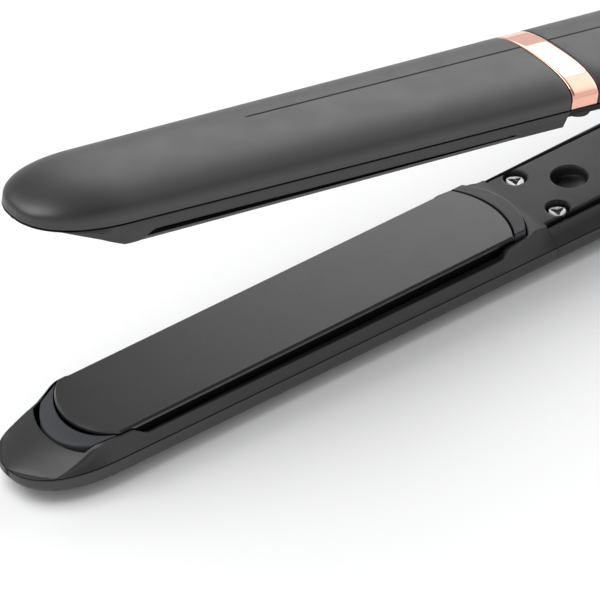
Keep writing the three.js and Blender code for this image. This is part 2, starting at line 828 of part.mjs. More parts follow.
// The upper arm's knuckle, drawn in that arm's frame, with a pocket for the spring.
function hingeKnuckle() {
  const pocketHalf = legPlace + springWire + gap + slack;
  const pocketRadius = springRadius + springWire + slack;
  const coilRoom = rod("y", pocketRadius, -pocketHalf, pocketHalf);
  const edge = -knuckleRadius - overcut;
  const mouth = box(edge, pocketRadius, -pocketHalf, pocketHalf, edge, 0);
  const legHalf = springWire + springLegClearance / 3;
  const legSlot = box(
    -neckLength,
    0,
    legPlace - legHalf,
    legPlace + legHalf,
    springRadius - springLegClearance,
    springRadius + springLegClearance,
  );
  return rod("y", knuckleRadius, -knuckleHalf, knuckleHalf, 0, 0, 36)
    .add(box(-neckLength, -knuckleRadius / 2, -knuckleHalf, knuckleHalf, neckTop, neckBottom))
    .subtract(rod("y", pinRadius + gap, -handleHalfWidth, handleHalfWidth))
    .subtract(coilRoom)
    .subtract(mouth)
    .subtract(legSlot);
}

function hingePin() {
  const half = cheekOuter - pinCapThickness - gap;
  return rod("y", pinRadius, -half, half);
}

function pinCap(side) {
  const inner = side * (cheekOuter - pinCapThickness + gap);
  const outer = side * (cheekOuter + gap);
  return rod("y", pinCapRadius, Math.min(inner, outer), Math.max(inner, outer));
}

function hingeWasher(side) {
  const inner = side * (knuckleHalf + gap);
  const outer = side * (cheekInner - gap);
  const from = Math.min(inner, outer);
  const to = Math.max(inner, outer);
  const bore = rod("y", pinRadius + gap, from - overcut, to + overcut);
  return rod("y", washerShare * pinRadius, from, to).subtract(bore);
}

// Coil round the pin, with one leg along each arm.
function torsionSpring() {
  const perTurn = 10;
  const count = springTurns * perTurn;
  const points = [
    new THREE.Vector3(-springLeg + 2, -legPlace, -springRadius),
    new THREE.Vector3(-springLeg / 2, -legPlace, -springRadius),
  ];
  for (let step = 0; step <= count + perTurn / 2; step++) {
    const turn = -Math.PI / 2 + (step / perTurn) * 2 * Math.PI;
    const share = step / (count + perTurn / 2);
    const y = THREE.MathUtils.lerp(-legPlace, legPlace, share);
    points.push(new THREE.Vector3(springRadius * Math.cos(turn), y, springRadius * Math.sin(turn)));
  }
  const tilt = THREE.MathUtils.degToRad(openAngle);
  for (const reach of [springLeg / 2, springLeg - 2]) {
    const x = -reach * Math.cos(tilt);
    points.push(new THREE.Vector3(x, legPlace, springRadius + reach * Math.sin(tilt)));
  }
  return tube(points, springWire, 46, 6);
}

// Swivelling gland that the mains lead would leave by.
function cordSwivel() {
  const collarStart = glandBossEnd + gap;
  const profile = [
    new THREE.Vector2(0, glandFlangeStart),
    new THREE.Vector2(glandFlangeRadius, glandFlangeStart),
    new THREE.Vector2(glandFlangeRadius, glandFlangeEnd),
    new THREE.Vector2(glandStemRadius, glandFlangeEnd),
    new THREE.Vector2(glandStemRadius, collarStart),
    new THREE.Vector2(glandCollarRadius, collarStart),
    new THREE.Vector2(glandCollarRadius - glandCollarTaper, glandEnd),
    new THREE.Vector2(cordRadius, glandEnd),
    new THREE.Vector2(cordRadius, glandEnd - cordDepth),
    new THREE.Vector2(0, glandEnd - cordDepth),
  ];
  return solidOf(new THREE.LatheGeometry(profile, 24).rotateZ(-Math.PI / 2));
}

// Assembly.

// Pieces that both arms have.
function arm(side) {
  const group = new THREE.Group();
  const lower = side === "lower";
  const add = (name, solid, finish) => group.add(piece(`${side}_${name}`, solid, finish));
  add("front_shell", frontShell(), "shell");
  add("handle_shell", lower ? handleShell(false) : handleShell(true).subtract(sliderSlot()), "shell");
  add("front_casing", frontCasing(lower), "casing");
  add("handle_casing", lower ? handleCasing().subtract(controlOpenings()) : handleCasing(), "casing");
  add("heating_plate", heatingPlate(), "ceramicCoat");
  add("front_end_cap", frontEndCap(), "capPlastic");
  add("rear_end_cap", rearEndCap(), "capPlastic");
  add("plate_carrier", plateCarrier(), "innerPlastic");
  add("ceramic_heater", ceramicHeater(), "ceramic");
  add("heater_clamp", heaterClamp(), "springSteel");
  add("thermal_fuse", thermalFuse(), "springSteel");
  add("front_cushion", floatCushion(plateFront + cushionInset), "silicone");
  add("rear_cushion", floatCushion(plateRear - cushionInset), "silicone");
  add("casing_screw_left", casingScrew(screwSpacing / 2), "springSteel");
  add("casing_screw_right", casingScrew(-screwSpacing / 2), "springSteel");
  const leadEnd = lower ? boardFront - 2 : -neckLength - 2;
  add("heater_lead", heaterLead(leadEnd, boardDepth), "leadSleeve");
  return group;
}

function lowerArm() {
  const group = arm("lower");
  const names = ["power", "minus", "plus"];
  names.forEach((name, place) => {
    group.add(piece(`${name}_button`, button(place), "capPlastic"));
    group.add(piece(`${name}_tact_switch`, tactSwitch(place), "casing"));
  });
  group.add(piece("display_window", displayWindow(), "smokedLens"));
  group.add(piece("control_board", controlBoard(), "board"));
  group.add(piece("board_screw_front", boardScrew(0), "springSteel"));
  group.add(piece("board_screw_rear", boardScrew(1), "springSteel"));
  group.rotation.x = Math.PI;
  return group;
}

function upperArm() {
  const group = arm("upper");
  group.add(piece("upper_accent_band", accentBand(), "roseGold"));
  group.add(piece("upper_locating_peg", locatingPeg(), "casing"));
  group.add(piece("lock_slider", lockSlider(), "capPlastic"));
  group.add(piece("hinge_knuckle", hingeKnuckle(), "casing"));
  group.rotation.y = THREE.MathUtils.degToRad(openAngle);
  return group;
}

function hinge() {
  const group = new THREE.Group();
  group.add(piece("hinge_yoke", hingeYoke(), "casing"));
  group.add(piece("hinge_pin", hingePin(), "springSteel"));
  group.add(piece("hinge_cap_left", pinCap(1), "roseGold"));
  group.add(piece("hinge_cap_right", pinCap(-1), "roseGold"));
  group.add(piece("hinge_washer_left", hingeWasher(1), "innerPlastic"));
  group.add(piece("hinge_washer_right", hingeWasher(-1), "innerPlastic"));
  group.add(piece("hinge_torsion_spring", torsionSpring(), "springSteel"));
  group.add(piece("cord_swivel", cordSwivel(), "casing"));
  return group;
}

const flatIron = new THREE.Group();
const pivot = new THREE.Group();
pivot.position.set(-centreX, 0, crown);
pivot.add(lowerArm(), upperArm(), hinge());
flatIron.add(pivot);

export default flatIron;
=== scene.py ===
"""A hair straightener: two arms on a sprung hinge, lying open on a pale floor.

Shapes are worked out in an arm's own frame, in millimetres. X runs from the tip (negative) to the
hinge pin (zero), Y runs across, and Z points away from the plane where the two plates meet. The
lower arm is that frame turned over onto its back, and the upper arm is it swung open on the pin.
"""

import json
import math
from types import SimpleNamespace

import bmesh
import bpy
import numpy as np
from mathutils import Matrix, Vector


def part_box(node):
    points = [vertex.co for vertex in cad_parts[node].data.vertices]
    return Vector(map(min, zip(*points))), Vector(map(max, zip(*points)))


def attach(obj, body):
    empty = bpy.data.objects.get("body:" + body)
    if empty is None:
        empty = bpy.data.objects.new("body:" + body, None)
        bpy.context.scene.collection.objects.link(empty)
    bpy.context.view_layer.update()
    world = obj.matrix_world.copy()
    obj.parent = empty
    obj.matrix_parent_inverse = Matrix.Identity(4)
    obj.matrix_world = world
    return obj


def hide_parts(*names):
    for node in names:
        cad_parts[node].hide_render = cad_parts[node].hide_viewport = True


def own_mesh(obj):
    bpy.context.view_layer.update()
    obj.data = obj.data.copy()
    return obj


bl_info = {
    "name": "Hair Straightener",
    "version": (1, 0, 0),
    "blender": (4, 5, 0),
    "location": "View3D > Sidebar > Straightener",
    "description": "Builds the visible pieces of a hair straightener round its packed frame",
    "category": "Add Mesh",
}

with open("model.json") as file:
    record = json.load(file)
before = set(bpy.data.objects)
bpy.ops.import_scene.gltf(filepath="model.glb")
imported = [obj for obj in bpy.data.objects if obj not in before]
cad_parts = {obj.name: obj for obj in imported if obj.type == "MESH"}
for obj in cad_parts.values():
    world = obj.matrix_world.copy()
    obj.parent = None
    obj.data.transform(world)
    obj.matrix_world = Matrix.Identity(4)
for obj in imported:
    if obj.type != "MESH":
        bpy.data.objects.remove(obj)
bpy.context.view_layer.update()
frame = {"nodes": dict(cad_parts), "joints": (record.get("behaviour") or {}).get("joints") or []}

MM = 0.001
JOINTS = {joint["name"]: joint for joint in frame["joints"]}
PIN = np.array(JOINTS["arm_hinge"]["pos_m"], float) / MM
OPENING = math.radians(JOINTS["arm_hinge"]["range_deg"][1])


# Places read from the frame.


def arm_box(node):
    """Lowest and highest corner of a lower-arm node in the arm's own frame, in millimetres."""
    low, high = (np.array(corner, float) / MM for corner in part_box(node))
    return (
        np.array([low[0] - PIN[0], -high[1], PIN[2] - high[2]]),
        np.array([high[0] - PIN[0], -low[1], PIN[2] - low[2]]),
    )


def hinge_box(node):
    """Lowest and highest corner of a hinge node about the pin, in millimetres."""
    return tuple(np.array(corner, float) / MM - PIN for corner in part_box(node))


SHELL_LOW, SHELL_HIGH = arm_box("lower_front_shell")
HANDLE_LOW, HANDLE_HIGH = arm_box("lower_handle_shell")
PLATE_LOW, PLATE_HIGH = arm_box("lower_heating_plate")
FRONT_CAP_LOW, FRONT_CAP_HIGH = arm_box("lower_front_end_cap")
REAR_CAP_HIGH = arm_box("lower_rear_end_cap")[1]
SCREW_LOW, SCREW_HIGH = arm_box("lower_casing_screw_left")
YOKE_LOW, YOKE_HIGH = hinge_box("hinge_yoke")

# The rounded tip's last sliver is a flat face in the frame.
TIP = SHELL_LOW[0] - 0.12
CROWN = SHELL_HIGH[2]
SHELL_BASE = SHELL_LOW[2]
CASING_HIGH = arm_box("lower_front_casing")[1]
CASING_BASE = CASING_HIGH[2]
GAP = 0.3
BAND_WIDTH = 8.0
BAND_FRONT = (SHELL_HIGH[0] + HANDLE_LOW[0]) / 2
BAND_REAR = BAND_FRONT + BAND_WIDTH
HANDLE_HALF = HANDLE_HIGH[1]
PLATE_HALF = PLATE_HIGH[1]
PLATE_FACE, PLATE_BACK = PLATE_LOW[2], PLATE_HIGH[2]
SCREW_X = (SCREW_LOW[0] + SCREW_HIGH[0]) / 2
SCREW_Y = (SCREW_LOW[1] + SCREW_HIGH[1]) / 2
SCREW_TOP = SCREW_LOW[2]
SCREW_RADIUS = (SCREW_HIGH[0] - SCREW_LOW[0]) / 2
PANEL = arm_box("lower_handle_casing")[0][2]
CHEEK_RADIUS = -YOKE_LOW[2]
HINGE_CLEARANCE = CHEEK_RADIUS + 0.5


# Settings.


def length(name, description, default):
    """A length property whose default is given in millimetres."""
    return bpy.props.FloatProperty(
        name=name, description=description, default=default * MM, unit="LENGTH", precision=5
    )


def share(name, description, default):
    """A property for a plain number from nought to one."""
    return bpy.props.FloatProperty(
        name=name, description=description, default=default, min=0, max=1, subtype="FACTOR"
    )


def colour(name, description, default):
    """A colour property, in linear values."""
    return bpy.props.FloatVectorProperty(
        name=name, description=description, default=default, min=0, max=1, subtype="COLOR"
    )


class StraightenerSizes(bpy.types.PropertyGroup):
    """Sizes of the moulded pieces that the frame's boxes do not give."""

    nose_half_width: length("Nose half width", "Half the arm's width behind the rounded nose", 13.3)
    nose_length: length("Nose length", "From the tip to where the sides become straight", 23)
    taper_end: length("Taper end", "From the hinge pin to where the arm is widest", 75)
    rim_height: length("Rim height", "Upright rim of the shell above the seam", 1.5)
    wall: length("Shell wall", "Thickness of the moulded shells", 1.8)
    edge_radius: length("Edge radius", "Rounding of the moulded edges", 0.3)
    groove_offset: length("Groove offset", "From the arm's middle to the groove", 4.3)
    groove_width: length("Groove width", "Width of the groove along the shell", 0.62)
    groove_depth: length("Groove depth", "Depth of the groove along the shell", 0.5)
    groove_start: length("Groove start", "From the tip to where the groove begins", 66)
    casing_corner: length("Casing corner", "Rounding between the casing's side and its face", 0.35)
    plate_bevel: length("Plate bevel", "Bevel along the heating plate's edges", 0.45)


class StraightenerFinishes(bpy.types.PropertyGroup):
    """Colours of the finishes."""

    shell: colour("Shell", "Soft-touch paint on the outer shells", (0.010, 0.010, 0.011))
    casing: colour("Casing", "Moulded plastic of the casings", (0.010, 0.010, 0.011))
    cap: colour("End caps", "Heat-proof plastic at the plates' ends", (0.034, 0.036, 0.042))
    plate: colour("Plate", "Ceramic coat of the heating plates", (0.007, 0.007, 0.007))
    trim: colour("Trim", "Rose-gold plating of the bands and hinge caps", (0.93, 0.52, 0.40))
    steel: colour("Steel", "Bright steel of screws, pin and spring", (0.40, 0.40, 0.41))
    shell_roughness: share("Shell roughness", "Roughness of the soft-touch paint", 0.42)
    plate_roughness: share("Plate roughness", "Roughness of the ceramic coat", 0.26)


def sizes():
    """The sizes in millimetres."""
    group = bpy.context.scene.straightener_sizes
    keys = StraightenerSizes.__annotations__
    return SimpleNamespace(**{key: getattr(group, key) / MM for key in keys})


# Meshes from arrays of points.


def lower(points):
    """Arm frame to world: X stays, Y and Z change sign, and the pin's place is added."""
    return (points * [1, -1, -1] + PIN) * MM


def upper(points):
    """Arm frame to world: turned about Y by the opening angle, then moved to the pin."""
    c, s = math.cos(OPENING), math.sin(OPENING)
    x, y, z = points[..., 0], points[..., 1], points[..., 2]
    return (np.stack([x * c + z * s, y, z * c - x * s], axis=-1) + PIN) * MM


def about_pin(points):
    """Hinge frame to world: only the pin's place is added."""
    return (points + PIN) * MM


def quads(index):
    """Corner numbers of the quads between neighbouring points of a grid of point numbers."""
    corners = [index[:-1, :-1], index[1:, :-1], index[1:, 1:], index[:-1, 1:]]
    return np.stack(corners, axis=-1).reshape(-1, 4)


def thick(top, bottom, keep=None):
    """A closed solid between two grids of points. Cells that keep leaves out become holes: wherever
    a kept cell has no kept neighbour, a wall joins the two grids along that edge."""
    rows, columns = top.shape[:2]
    index = np.arange(rows * columns).reshape(rows, columns)
    below = index + rows * columns
    if keep is None:
        keep = np.ones((rows - 1, columns - 1), bool)
    faces = [quads(index)[keep.ravel()], quads(below)[keep.ravel()][:, ::-1]]
    rim = np.pad(keep, ((1, 1), (0, 0)))
    for change, first, second in ((1, 0, 1), (-1, 1, 0)):
        i, j = np.nonzero(np.diff(rim.astype(int), axis=0) == change)
        ends = (index[i, j + first], index[i, j + second])
        faces.append(np.stack([*ends, below[i, j + second], below[i, j + first]], axis=-1))
    side = np.pad(keep, ((0, 0), (1, 1)))
    for change, first, second in ((1, 1, 0), (-1, 0, 1)):
        i, j = np.nonzero(np.diff(side.astype(int), axis=1) == change)
        ends = (index[i + first, j], index[i + second, j])
        faces.append(np.stack([*ends, below[i + second, j], below[i + first, j]], axis=-1))
    points = np.concatenate([top.reshape(-1, 3), bottom.reshape(-1, 3)])
    return points, np.concatenate(faces)


def ringed(rings):
    """A closed solid over rings of points, each of which closes on itself. Each end is closed by a
    fan about the ring's middle."""
    rows, columns = rings.shape[:2]
    index = np.arange(rows * columns).reshape(rows, columns)
    index = np.hstack([index, index[:, :1]])
    first, last = (np.full(columns, rows * columns + extra) for extra in (0, 1))
    ends = [
        np.stack([first, index[0, :-1], index[0, 1:], first], -1),
        np.stack([index[-1, :-1], last, last, index[-1, 1:]], -1),
    ]
    points = np.concatenate([rings.reshape(-1, 3), rings[:1].mean(1), rings[-1:].mean(1)])
    return points, np.concatenate([quads(index), *ends])


def turned(profile, axis, steps=96, centre=(0, 0, 0)):
    """A closed solid of revolution. The profile is a list of (radius, place along the axis) that
    starts and ends on the axis or, for a ring, comes back to its start; it is swept in equal
    steps."""
    radius, along = np.array(profile, float).T
    turn = np.linspace(0, 2 * np.pi, steps, endpoint=False)
    a = radius[:, None] * np.cos(turn)
    b = radius[:, None] * np.sin(turn)
    c = np.broadcast_to(along[:, None], a.shape)
    order = {"x": (c, a, b), "y": (b, c, a), "z": (a, b, c)}[axis]
    points = np.stack(order, axis=-1) + centre
    index = np.arange(a.size).reshape(a.shape)
    return points.reshape(-1, 3), quads(np.hstack([index, index[:, :1]]))


def swept(path, radius, sides):
    """A closed round tube: circles square to the path's own direction, carried along it. Each
    circle starts square to the direction and to Y, or to X where the path starts along Y."""
    path = np.asarray(path, float)
    along = np.gradient(path, axis=0)
    along /= np.linalg.norm(along, axis=1)[:, None]
    helper = np.array([0.0, 1.0, 0.0]) if abs(along[0, 1]) < 0.9 else np.array([1.0, 0.0, 0.0])
    across = np.cross(along, helper)
    across /= np.linalg.norm(across, axis=1)[:, None]
    other = np.cross(along, across)
    turn = np.linspace(0, 2 * np.pi, sides, endpoint=False)
    ring = across[:, None] * np.cos(turn)[:, None] + other[:, None] * np.sin(turn)[:, None]
    return ringed(path[:, None] + radius * ring)


def arc(centre, radius, start, finish, steps=7):
    """Points of a turned profile on a circle between two angles in degrees, from the first axis."""
    turn = np.radians(np.linspace(start, finish, steps))
    return list(zip(centre[0] + radius * np.cos(turn), centre[1] + radius * np.sin(turn)))


def oblong(steps, power):
    """A superellipse of half sizes one as X and Y: the cosine and sine of equal turns, each raised
    to the power with its sign kept."""
    turn = np.linspace(0, 2 * np.pi, steps, endpoint=False)
    return [np.sign(part) * np.abs(part) ** power for part in (np.cos(turn), np.sin(turn))]


def rounded_end(distance, radius):
    """How far a surface drops at a distance from its edge, for a quarter-round edge."""
    inside = np.clip(radius - distance, 0, radius)
    return radius - np.sqrt(radius**2 - inside**2)


def smooth_step(value):
    """Nought below nought, one above one, and a smooth cubic between."""
    t = np.clip(value, 0, 1)
    return t * t * (3 - 2 * t)


def spread(*values):
    """The values of several arrays in rising order, without any that lie closer than a hair."""
    joined = np.sort(np.concatenate([np.atleast_1d(v).astype(float) for v in values]))
    return joined[np.insert(np.diff(joined) > 0.012, 0, True)]


def make_piece(name, solids, place, body, finish, node, crease=38):
    """One object from closed solids, which stands for a node: points are placed in the world,
    doubles are merged, faces turned outwards, and edges sharper than the crease angle stay
    sharp."""
    points, faces, count = [], [], 0
    for solid_points, solid_faces in solids:
        points.append(place(solid_points))
        faces.extend((solid_faces + count).tolist())
        count += len(solid_points)
    mesh = bpy.data.meshes.new(name)
    distinct = [tuple(dict.fromkeys(face)) for face in faces]
    mesh.from_pydata(np.concatenate(points), [], [face for face in distinct if len(face) > 2])
    shape = bmesh.new()
    shape.from_mesh(mesh)
    bmesh.ops.remove_doubles(shape, verts=shape.verts, dist=2e-6)
    bmesh.ops.dissolve_degenerate(shape, edges=shape.edges, dist=1e-7)
    bmesh.ops.recalc_face_normals(shape, faces=shape.faces)
    shape.to_mesh(mesh)
    shape.free()
    mesh.shade_smooth()
    mesh.set_sharp_from_angle(angle=math.radians(crease))
    mesh.materials.append(FINISH[finish])
    piece = bpy.data.objects.new(name, mesh)
    bpy.context.scene.collection.objects.link(piece)
    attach(piece, body)
    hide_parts(node)
    return piece


# Each finish's material, by the finish's name.
FINISH = {}
ARMS = (("lower", lower), ("upper", upper))


# Materials.


def new_material(name, **settings):
    """A material, its shader with the given sockets set, and functions that add a node and join two
    sockets."""
    material = bpy.data.materials.new(name)
    material.use_nodes = True
    tree = material.node_tree
    shader = tree.nodes["Principled BSDF"]
    for key, value in settings.items():
        shader.inputs[key.replace("_", " ")].default_value = value

    def node(kind, **values):
        made = tree.nodes.new(kind)
        for key, value in values.items():
            if key in made.inputs:
                made.inputs[key].default_value = value
            else:
                setattr(made, key, value)
        return made

    return material, shader, node, tree.links.new


def noise(node, link, scale, detail, roughness=0.55):
    """Noise on the piece's own coordinates; scale is in features per metre."""
    made = node("ShaderNodeTexNoise", Scale=scale, Detail=detail, Roughness=roughness)
    link(node("ShaderNodeTexCoord").outputs["Object"], made.inputs["Vector"])
    return made.outputs["Fac"]


def carried_to(node, link, value, low, high):
    """The middle stretch of a noise, carried to the range from low to high."""
    made = node("ShaderNodeMapRange")
    link(value, made.inputs["Value"])
    for key, bound in (("From Min", 0.3), ("From Max", 0.7), ("To Min", low), ("To Max", high)):
        made.inputs[key].default_value = bound
    return made.outputs["Result"]


def two_tone(node, link, factor, base, darker, lighter):
    """A colour that runs between a darker and a lighter share of the base."""
    made = node("ShaderNodeMix", data_type="RGBA")
    link(factor, made.inputs["Factor"])
    made.inputs["A"].default_value = (*[part * darker for part in base], 1)
    made.inputs["B"].default_value = (*[min(1, part * lighter) for part in base], 1)
    return made.outputs["Result"]


def relief(node, link, shader, height, depth):
    """Bump of the given depth in metres."""
    bump = node("ShaderNodeBump", Strength=1.0, Distance=depth)
    link(height, bump.inputs["Height"])
    link(bump.outputs["Normal"], shader.inputs["Normal"])


def moulded(name, base, roughness, grain, depth, variation=0.12, specular=0.5):
    """Moulded or painted plastic: fine grain in tone and bump, slow mottling in colour and
    roughness."""
    material, shader, node, link = new_material(name, Specular_IOR_Level=specular)
    mottle = noise(node, link, 140.0, 4.0)
    fine = noise(node, link, grain, 2.0, 0.6)
    even = carried_to(node, link, mottle, 0.0, 1.0)
    speckle = node("ShaderNodeMix", data_type="RGBA", blend_type="MULTIPLY")
    speckle.inputs["Factor"].default_value = 0.6
    link(two_tone(node, link, even, base, 1 - variation, 1 + variation), speckle.inputs["A"])
    link(carried_to(node, link, fine, 0.88, 1.12), speckle.inputs["B"])
    link(speckle.outputs["Result"], shader.inputs["Base Color"])
    uneven = carried_to(node, link, mottle, roughness * 0.93, roughness * 1.07)
    link(uneven, shader.inputs["Roughness"])
    relief(node, link, shader, fine, depth)
    return material


def plated(name, base, roughness, ripple, scale):
    """Polished or brushed metal: near-mirror with faint smudges and a slow wave."""
    material, shader, node, link = new_material(name, Metallic=1.0)
    smudge = noise(node, link, 220.0, 4.0)
    uneven = carried_to(node, link, smudge, roughness * 0.7, roughness * 1.5)
    link(uneven, shader.inputs["Roughness"])
    link(two_tone(node, link, smudge, base, 0.97, 1.03), shader.inputs["Base Color"])
    relief(node, link, shader, noise(node, link, scale, 1.0), ripple)
    return material


def paper(name, base):
    """Matt paper: a faint cloudiness and no relief."""
    material, shader, node, link = new_material(name, Roughness=0.9, Specular_IOR_Level=0.1)
    cloud = noise(node, link, 6.0, 3.0)
    link(two_tone(node, link, cloud, base, 0.995, 1), shader.inputs["Base Color"])
    return material


def make_finishes():
    """Every finish by name. A moulded one has its colour, roughness, grain in features per metre,
    relief in metres and, where they differ from the usual, its mottling and reflection."""
    f = bpy.context.scene.straightener_finishes
    dark, black, smoked = (0.035, 0.035, 0.038), (0.004, 0.004, 0.004), (0.006, 0.006, 0.007)
    coat = (f.plate, f.plate_roughness, 5200.0, 1.2e-6, 0.03, 0.95)
    return {
        "shell": moulded("soft_touch_paint", f.shell, f.shell_roughness, 2600.0, 1.0e-5, 0.05, 0.8),
        "casing": moulded("textured_plastic", f.casing, 0.42, 2200.0, 1.6e-5, 0.06, 0.6),
        "cap": moulded("end_cap_plastic", f.cap, 0.62, 1500.0, 3.0e-5),
        "rear_cap": moulded("rear_cap_plastic", f.cap, 0.34, 2400.0, 1.0e-5, 0.06),
        "plate": moulded("ceramic_coat", *coat),
        "button": moulded("button_plastic", dark, 0.38, 2400.0, 1.2e-5),
        "trim": plated("rose_gold_plating", f.trim, 0.05, 4.0e-5, 90.0),
        "steel": plated("bright_steel", f.steel, 0.24, 1.0e-5, 900.0),
        "carrier": moulded("black_moulding", black, 0.8, 1800.0, 2.0e-5, 0.12, 0.15),
        "ceramic": moulded("fired_ceramic", (0.8, 0.78, 0.72), 0.55, 3000.0, 1.5e-5),
        "silicone": moulded("red_silicone", (0.45, 0.1, 0.05), 0.6, 900.0, 2.0e-5, 0.15),
        "sleeve": moulded("woven_sleeve", (0.7, 0.66, 0.56), 0.75, 3600.0, 5.0e-5, 0.15),
        "board": moulded("solder_mask", (0.02, 0.16, 0.06), 0.35, 700.0, 1.0e-5, 0.2),
        "lens": moulded("smoked_lens", smoked, 0.08, 300.0, 1.0e-6, 0.3),
    }


# The arm's outline and sections.

NOSE_FULLNESS = 2.4
DOME_FULLNESS = 2.45
DOME_STEPS = 26
# Shares of the half width that the groove's own columns take the place of, and those columns in
# halves of the groove's width.
GROOVE_CLEAR = (0.2, 0.36)
GROOVE_COLUMNS = np.array([1.9, 1.15, 1, 0.8, 0.45, 0, -0.45, -0.8, -1, -1.15, -1.9])
GROOVE_RUN_IN = 1.2
# Heights above the seam and below the rim's top at which the rim has points, and how far the lowest
# ones are drawn in.
RIM_LOW = np.array([0, 0.06, 0.16, 0.25])
RIM_HIGH = np.array([-0.35, -0.1])
RIM_DRAW = np.array([0.22, 0.1, 0.03, 0, 0, 0.0, 0.02])


def half_width(x):
    """Half the arm's width at the seam: a straight taper, drawn in at the nose as the quarter of a
    superellipse whose exponent is nose fullness."""
    s = sizes()
    taper = np.clip((x - TIP) / (-s.taper_end - TIP), 0, 1)
    nose = np.clip((x - TIP) / (s.nose_length), 0, 1)
    side = s.nose_half_width * (1 - taper) + HANDLE_HALF * taper
    return side * (1 - (1 - nose) ** NOSE_FULLNESS) ** (1 / NOSE_FULLNESS)


def crown_rise(x):
    """Height of the dome above the rim: full along the arm, and a quarter circle at the nose."""
    nose = np.clip((x - TIP) / (sizes().nose_length), 0, 1)
    rim = SHELL_BASE + sizes().rim_height
    return (CROWN - rim) * np.sqrt(1 - (1 - nose) ** 2)


def dome_columns():
    """Places across the dome: shares of the half width, closer together at the sides, and offsets
    across the groove. Each has a share and an offset, and only one of them is used."""
    side = np.cos(np.linspace(0, np.pi / 2, DOME_STEPS)) ** (2 / DOME_FULLNESS)
    shares = np.concatenate([side[:-1], [0.0], -side[:-1][::-1]])
    shares = shares[(shares < GROOVE_CLEAR[0]) | (shares > GROOVE_CLEAR[1])]
    offsets = GROOVE_COLUMNS * sizes().groove_width / 2
    place = np.sum(shares > GROOVE_CLEAR[1])
    share_list = np.insert(shares, place, np.full(len(offsets), np.nan))
    offset_list = np.insert(np.full(len(shares), np.nan), place, offsets)
    return share_list, offset_list


def shell_grid(x, inset, base, ends=(), groove=False, radius=0.3):
    """The shell's outside over rows at x: up the rim from base, then over the dome, whose height is
    rise times (1 - |y / half| ^ n) ^ (1 / n). The ends are eased by a quarter round, and the groove
    is a rounded channel at a constant distance from the arm's middle."""
    s = sizes()
    x = np.asarray(x, float)[:, None]
    eased = inset + sum(rounded_end(np.abs(x - end), radius) for end in ends)
    half = np.maximum(half_width(x) - eased, 0)
    rim = SHELL_BASE + s.rim_height
    rise = np.maximum(crown_rise(x) - eased, 0)
    share_list, offset_list = dome_columns()
    start = TIP + s.groove_start
    reach = np.clip(half_width(x) / half_width(np.array(start)), 0, 1)
    lane = (s.groove_offset + np.nan_to_num(offset_list)) * reach
    y = np.where(np.isnan(share_list), lane, half * np.nan_to_num(share_list))
    relative = np.clip(np.abs(y) / np.maximum(half, 1e-9), 0, 1)
    z = rim + rise * (1 - relative**DOME_FULLNESS) ** (1 / DOME_FULLNESS)
    if groove:
        depth = s.groove_depth * smooth_step((x - start) / GROOVE_RUN_IN)
        away = np.abs(y - s.groove_offset * reach) / (s.groove_width / 2)
        z = z - depth * (1 - smooth_step(away * 1.25 - 0.2)) * ~np.isnan(offset_list)
    heights = np.concatenate([base + RIM_LOW, [(base + rim) / 2], rim + RIM_HIGH])
    side_y = np.maximum(half - np.where(inset > 0, 0, RIM_DRAW), 0)
    side_z = np.broadcast_to(heights, side_y.shape)
    ys = np.hstack([side_y, y, -side_y[:, ::-1]])
    zs = np.hstack([side_z, z, side_z[:, ::-1]])
    return np.stack([np.broadcast_to(x, ys.shape), ys, zs], axis=-1)


def end_rows(place, inward, radius):
    """Rows close to an end, for its rounding."""
    return place + inward * radius * (1 - np.cos(np.linspace(0, np.pi / 2, 5)))


def nose_rows(start, finish, steps=34):
    """Rows from the tip back, close together where the outline turns fastest."""
    return start + (finish - start) * (1 - np.cos(np.linspace(0, np.pi / 2, steps))) ** 1.35


def cut_back(points, start):
    """Rows behind start are drawn so that the last one lies on the round clearance about the pin: X
    runs from start to minus the root of clearance squared less Z squared."""
    x, z = points[..., 0], points[..., 2]
    last = x.max()
    end = -np.sqrt(np.maximum(HINGE_CLEARANCE**2 - z**2, 0))
    t = np.clip((x - start) / (last - start), 0, 1)
    moved = np.where(x > start, start + t * (end - start), x)
    return np.stack([moved, points[..., 1], z], axis=-1)


BUTT_GAP, BUTT_RADIUS = 0.05, 0.08
WALL_AT_TIP = 0.4
BAND_WALL, BAND_EDGE = 1.2, 0.28


def butt_joint(arm):
    """Gap and rounding where the front and handle shells meet: a fine line on the lower arm."""
    return (BUTT_GAP, BUTT_RADIUS) if arm == "lower" else (GAP, sizes().edge_radius)


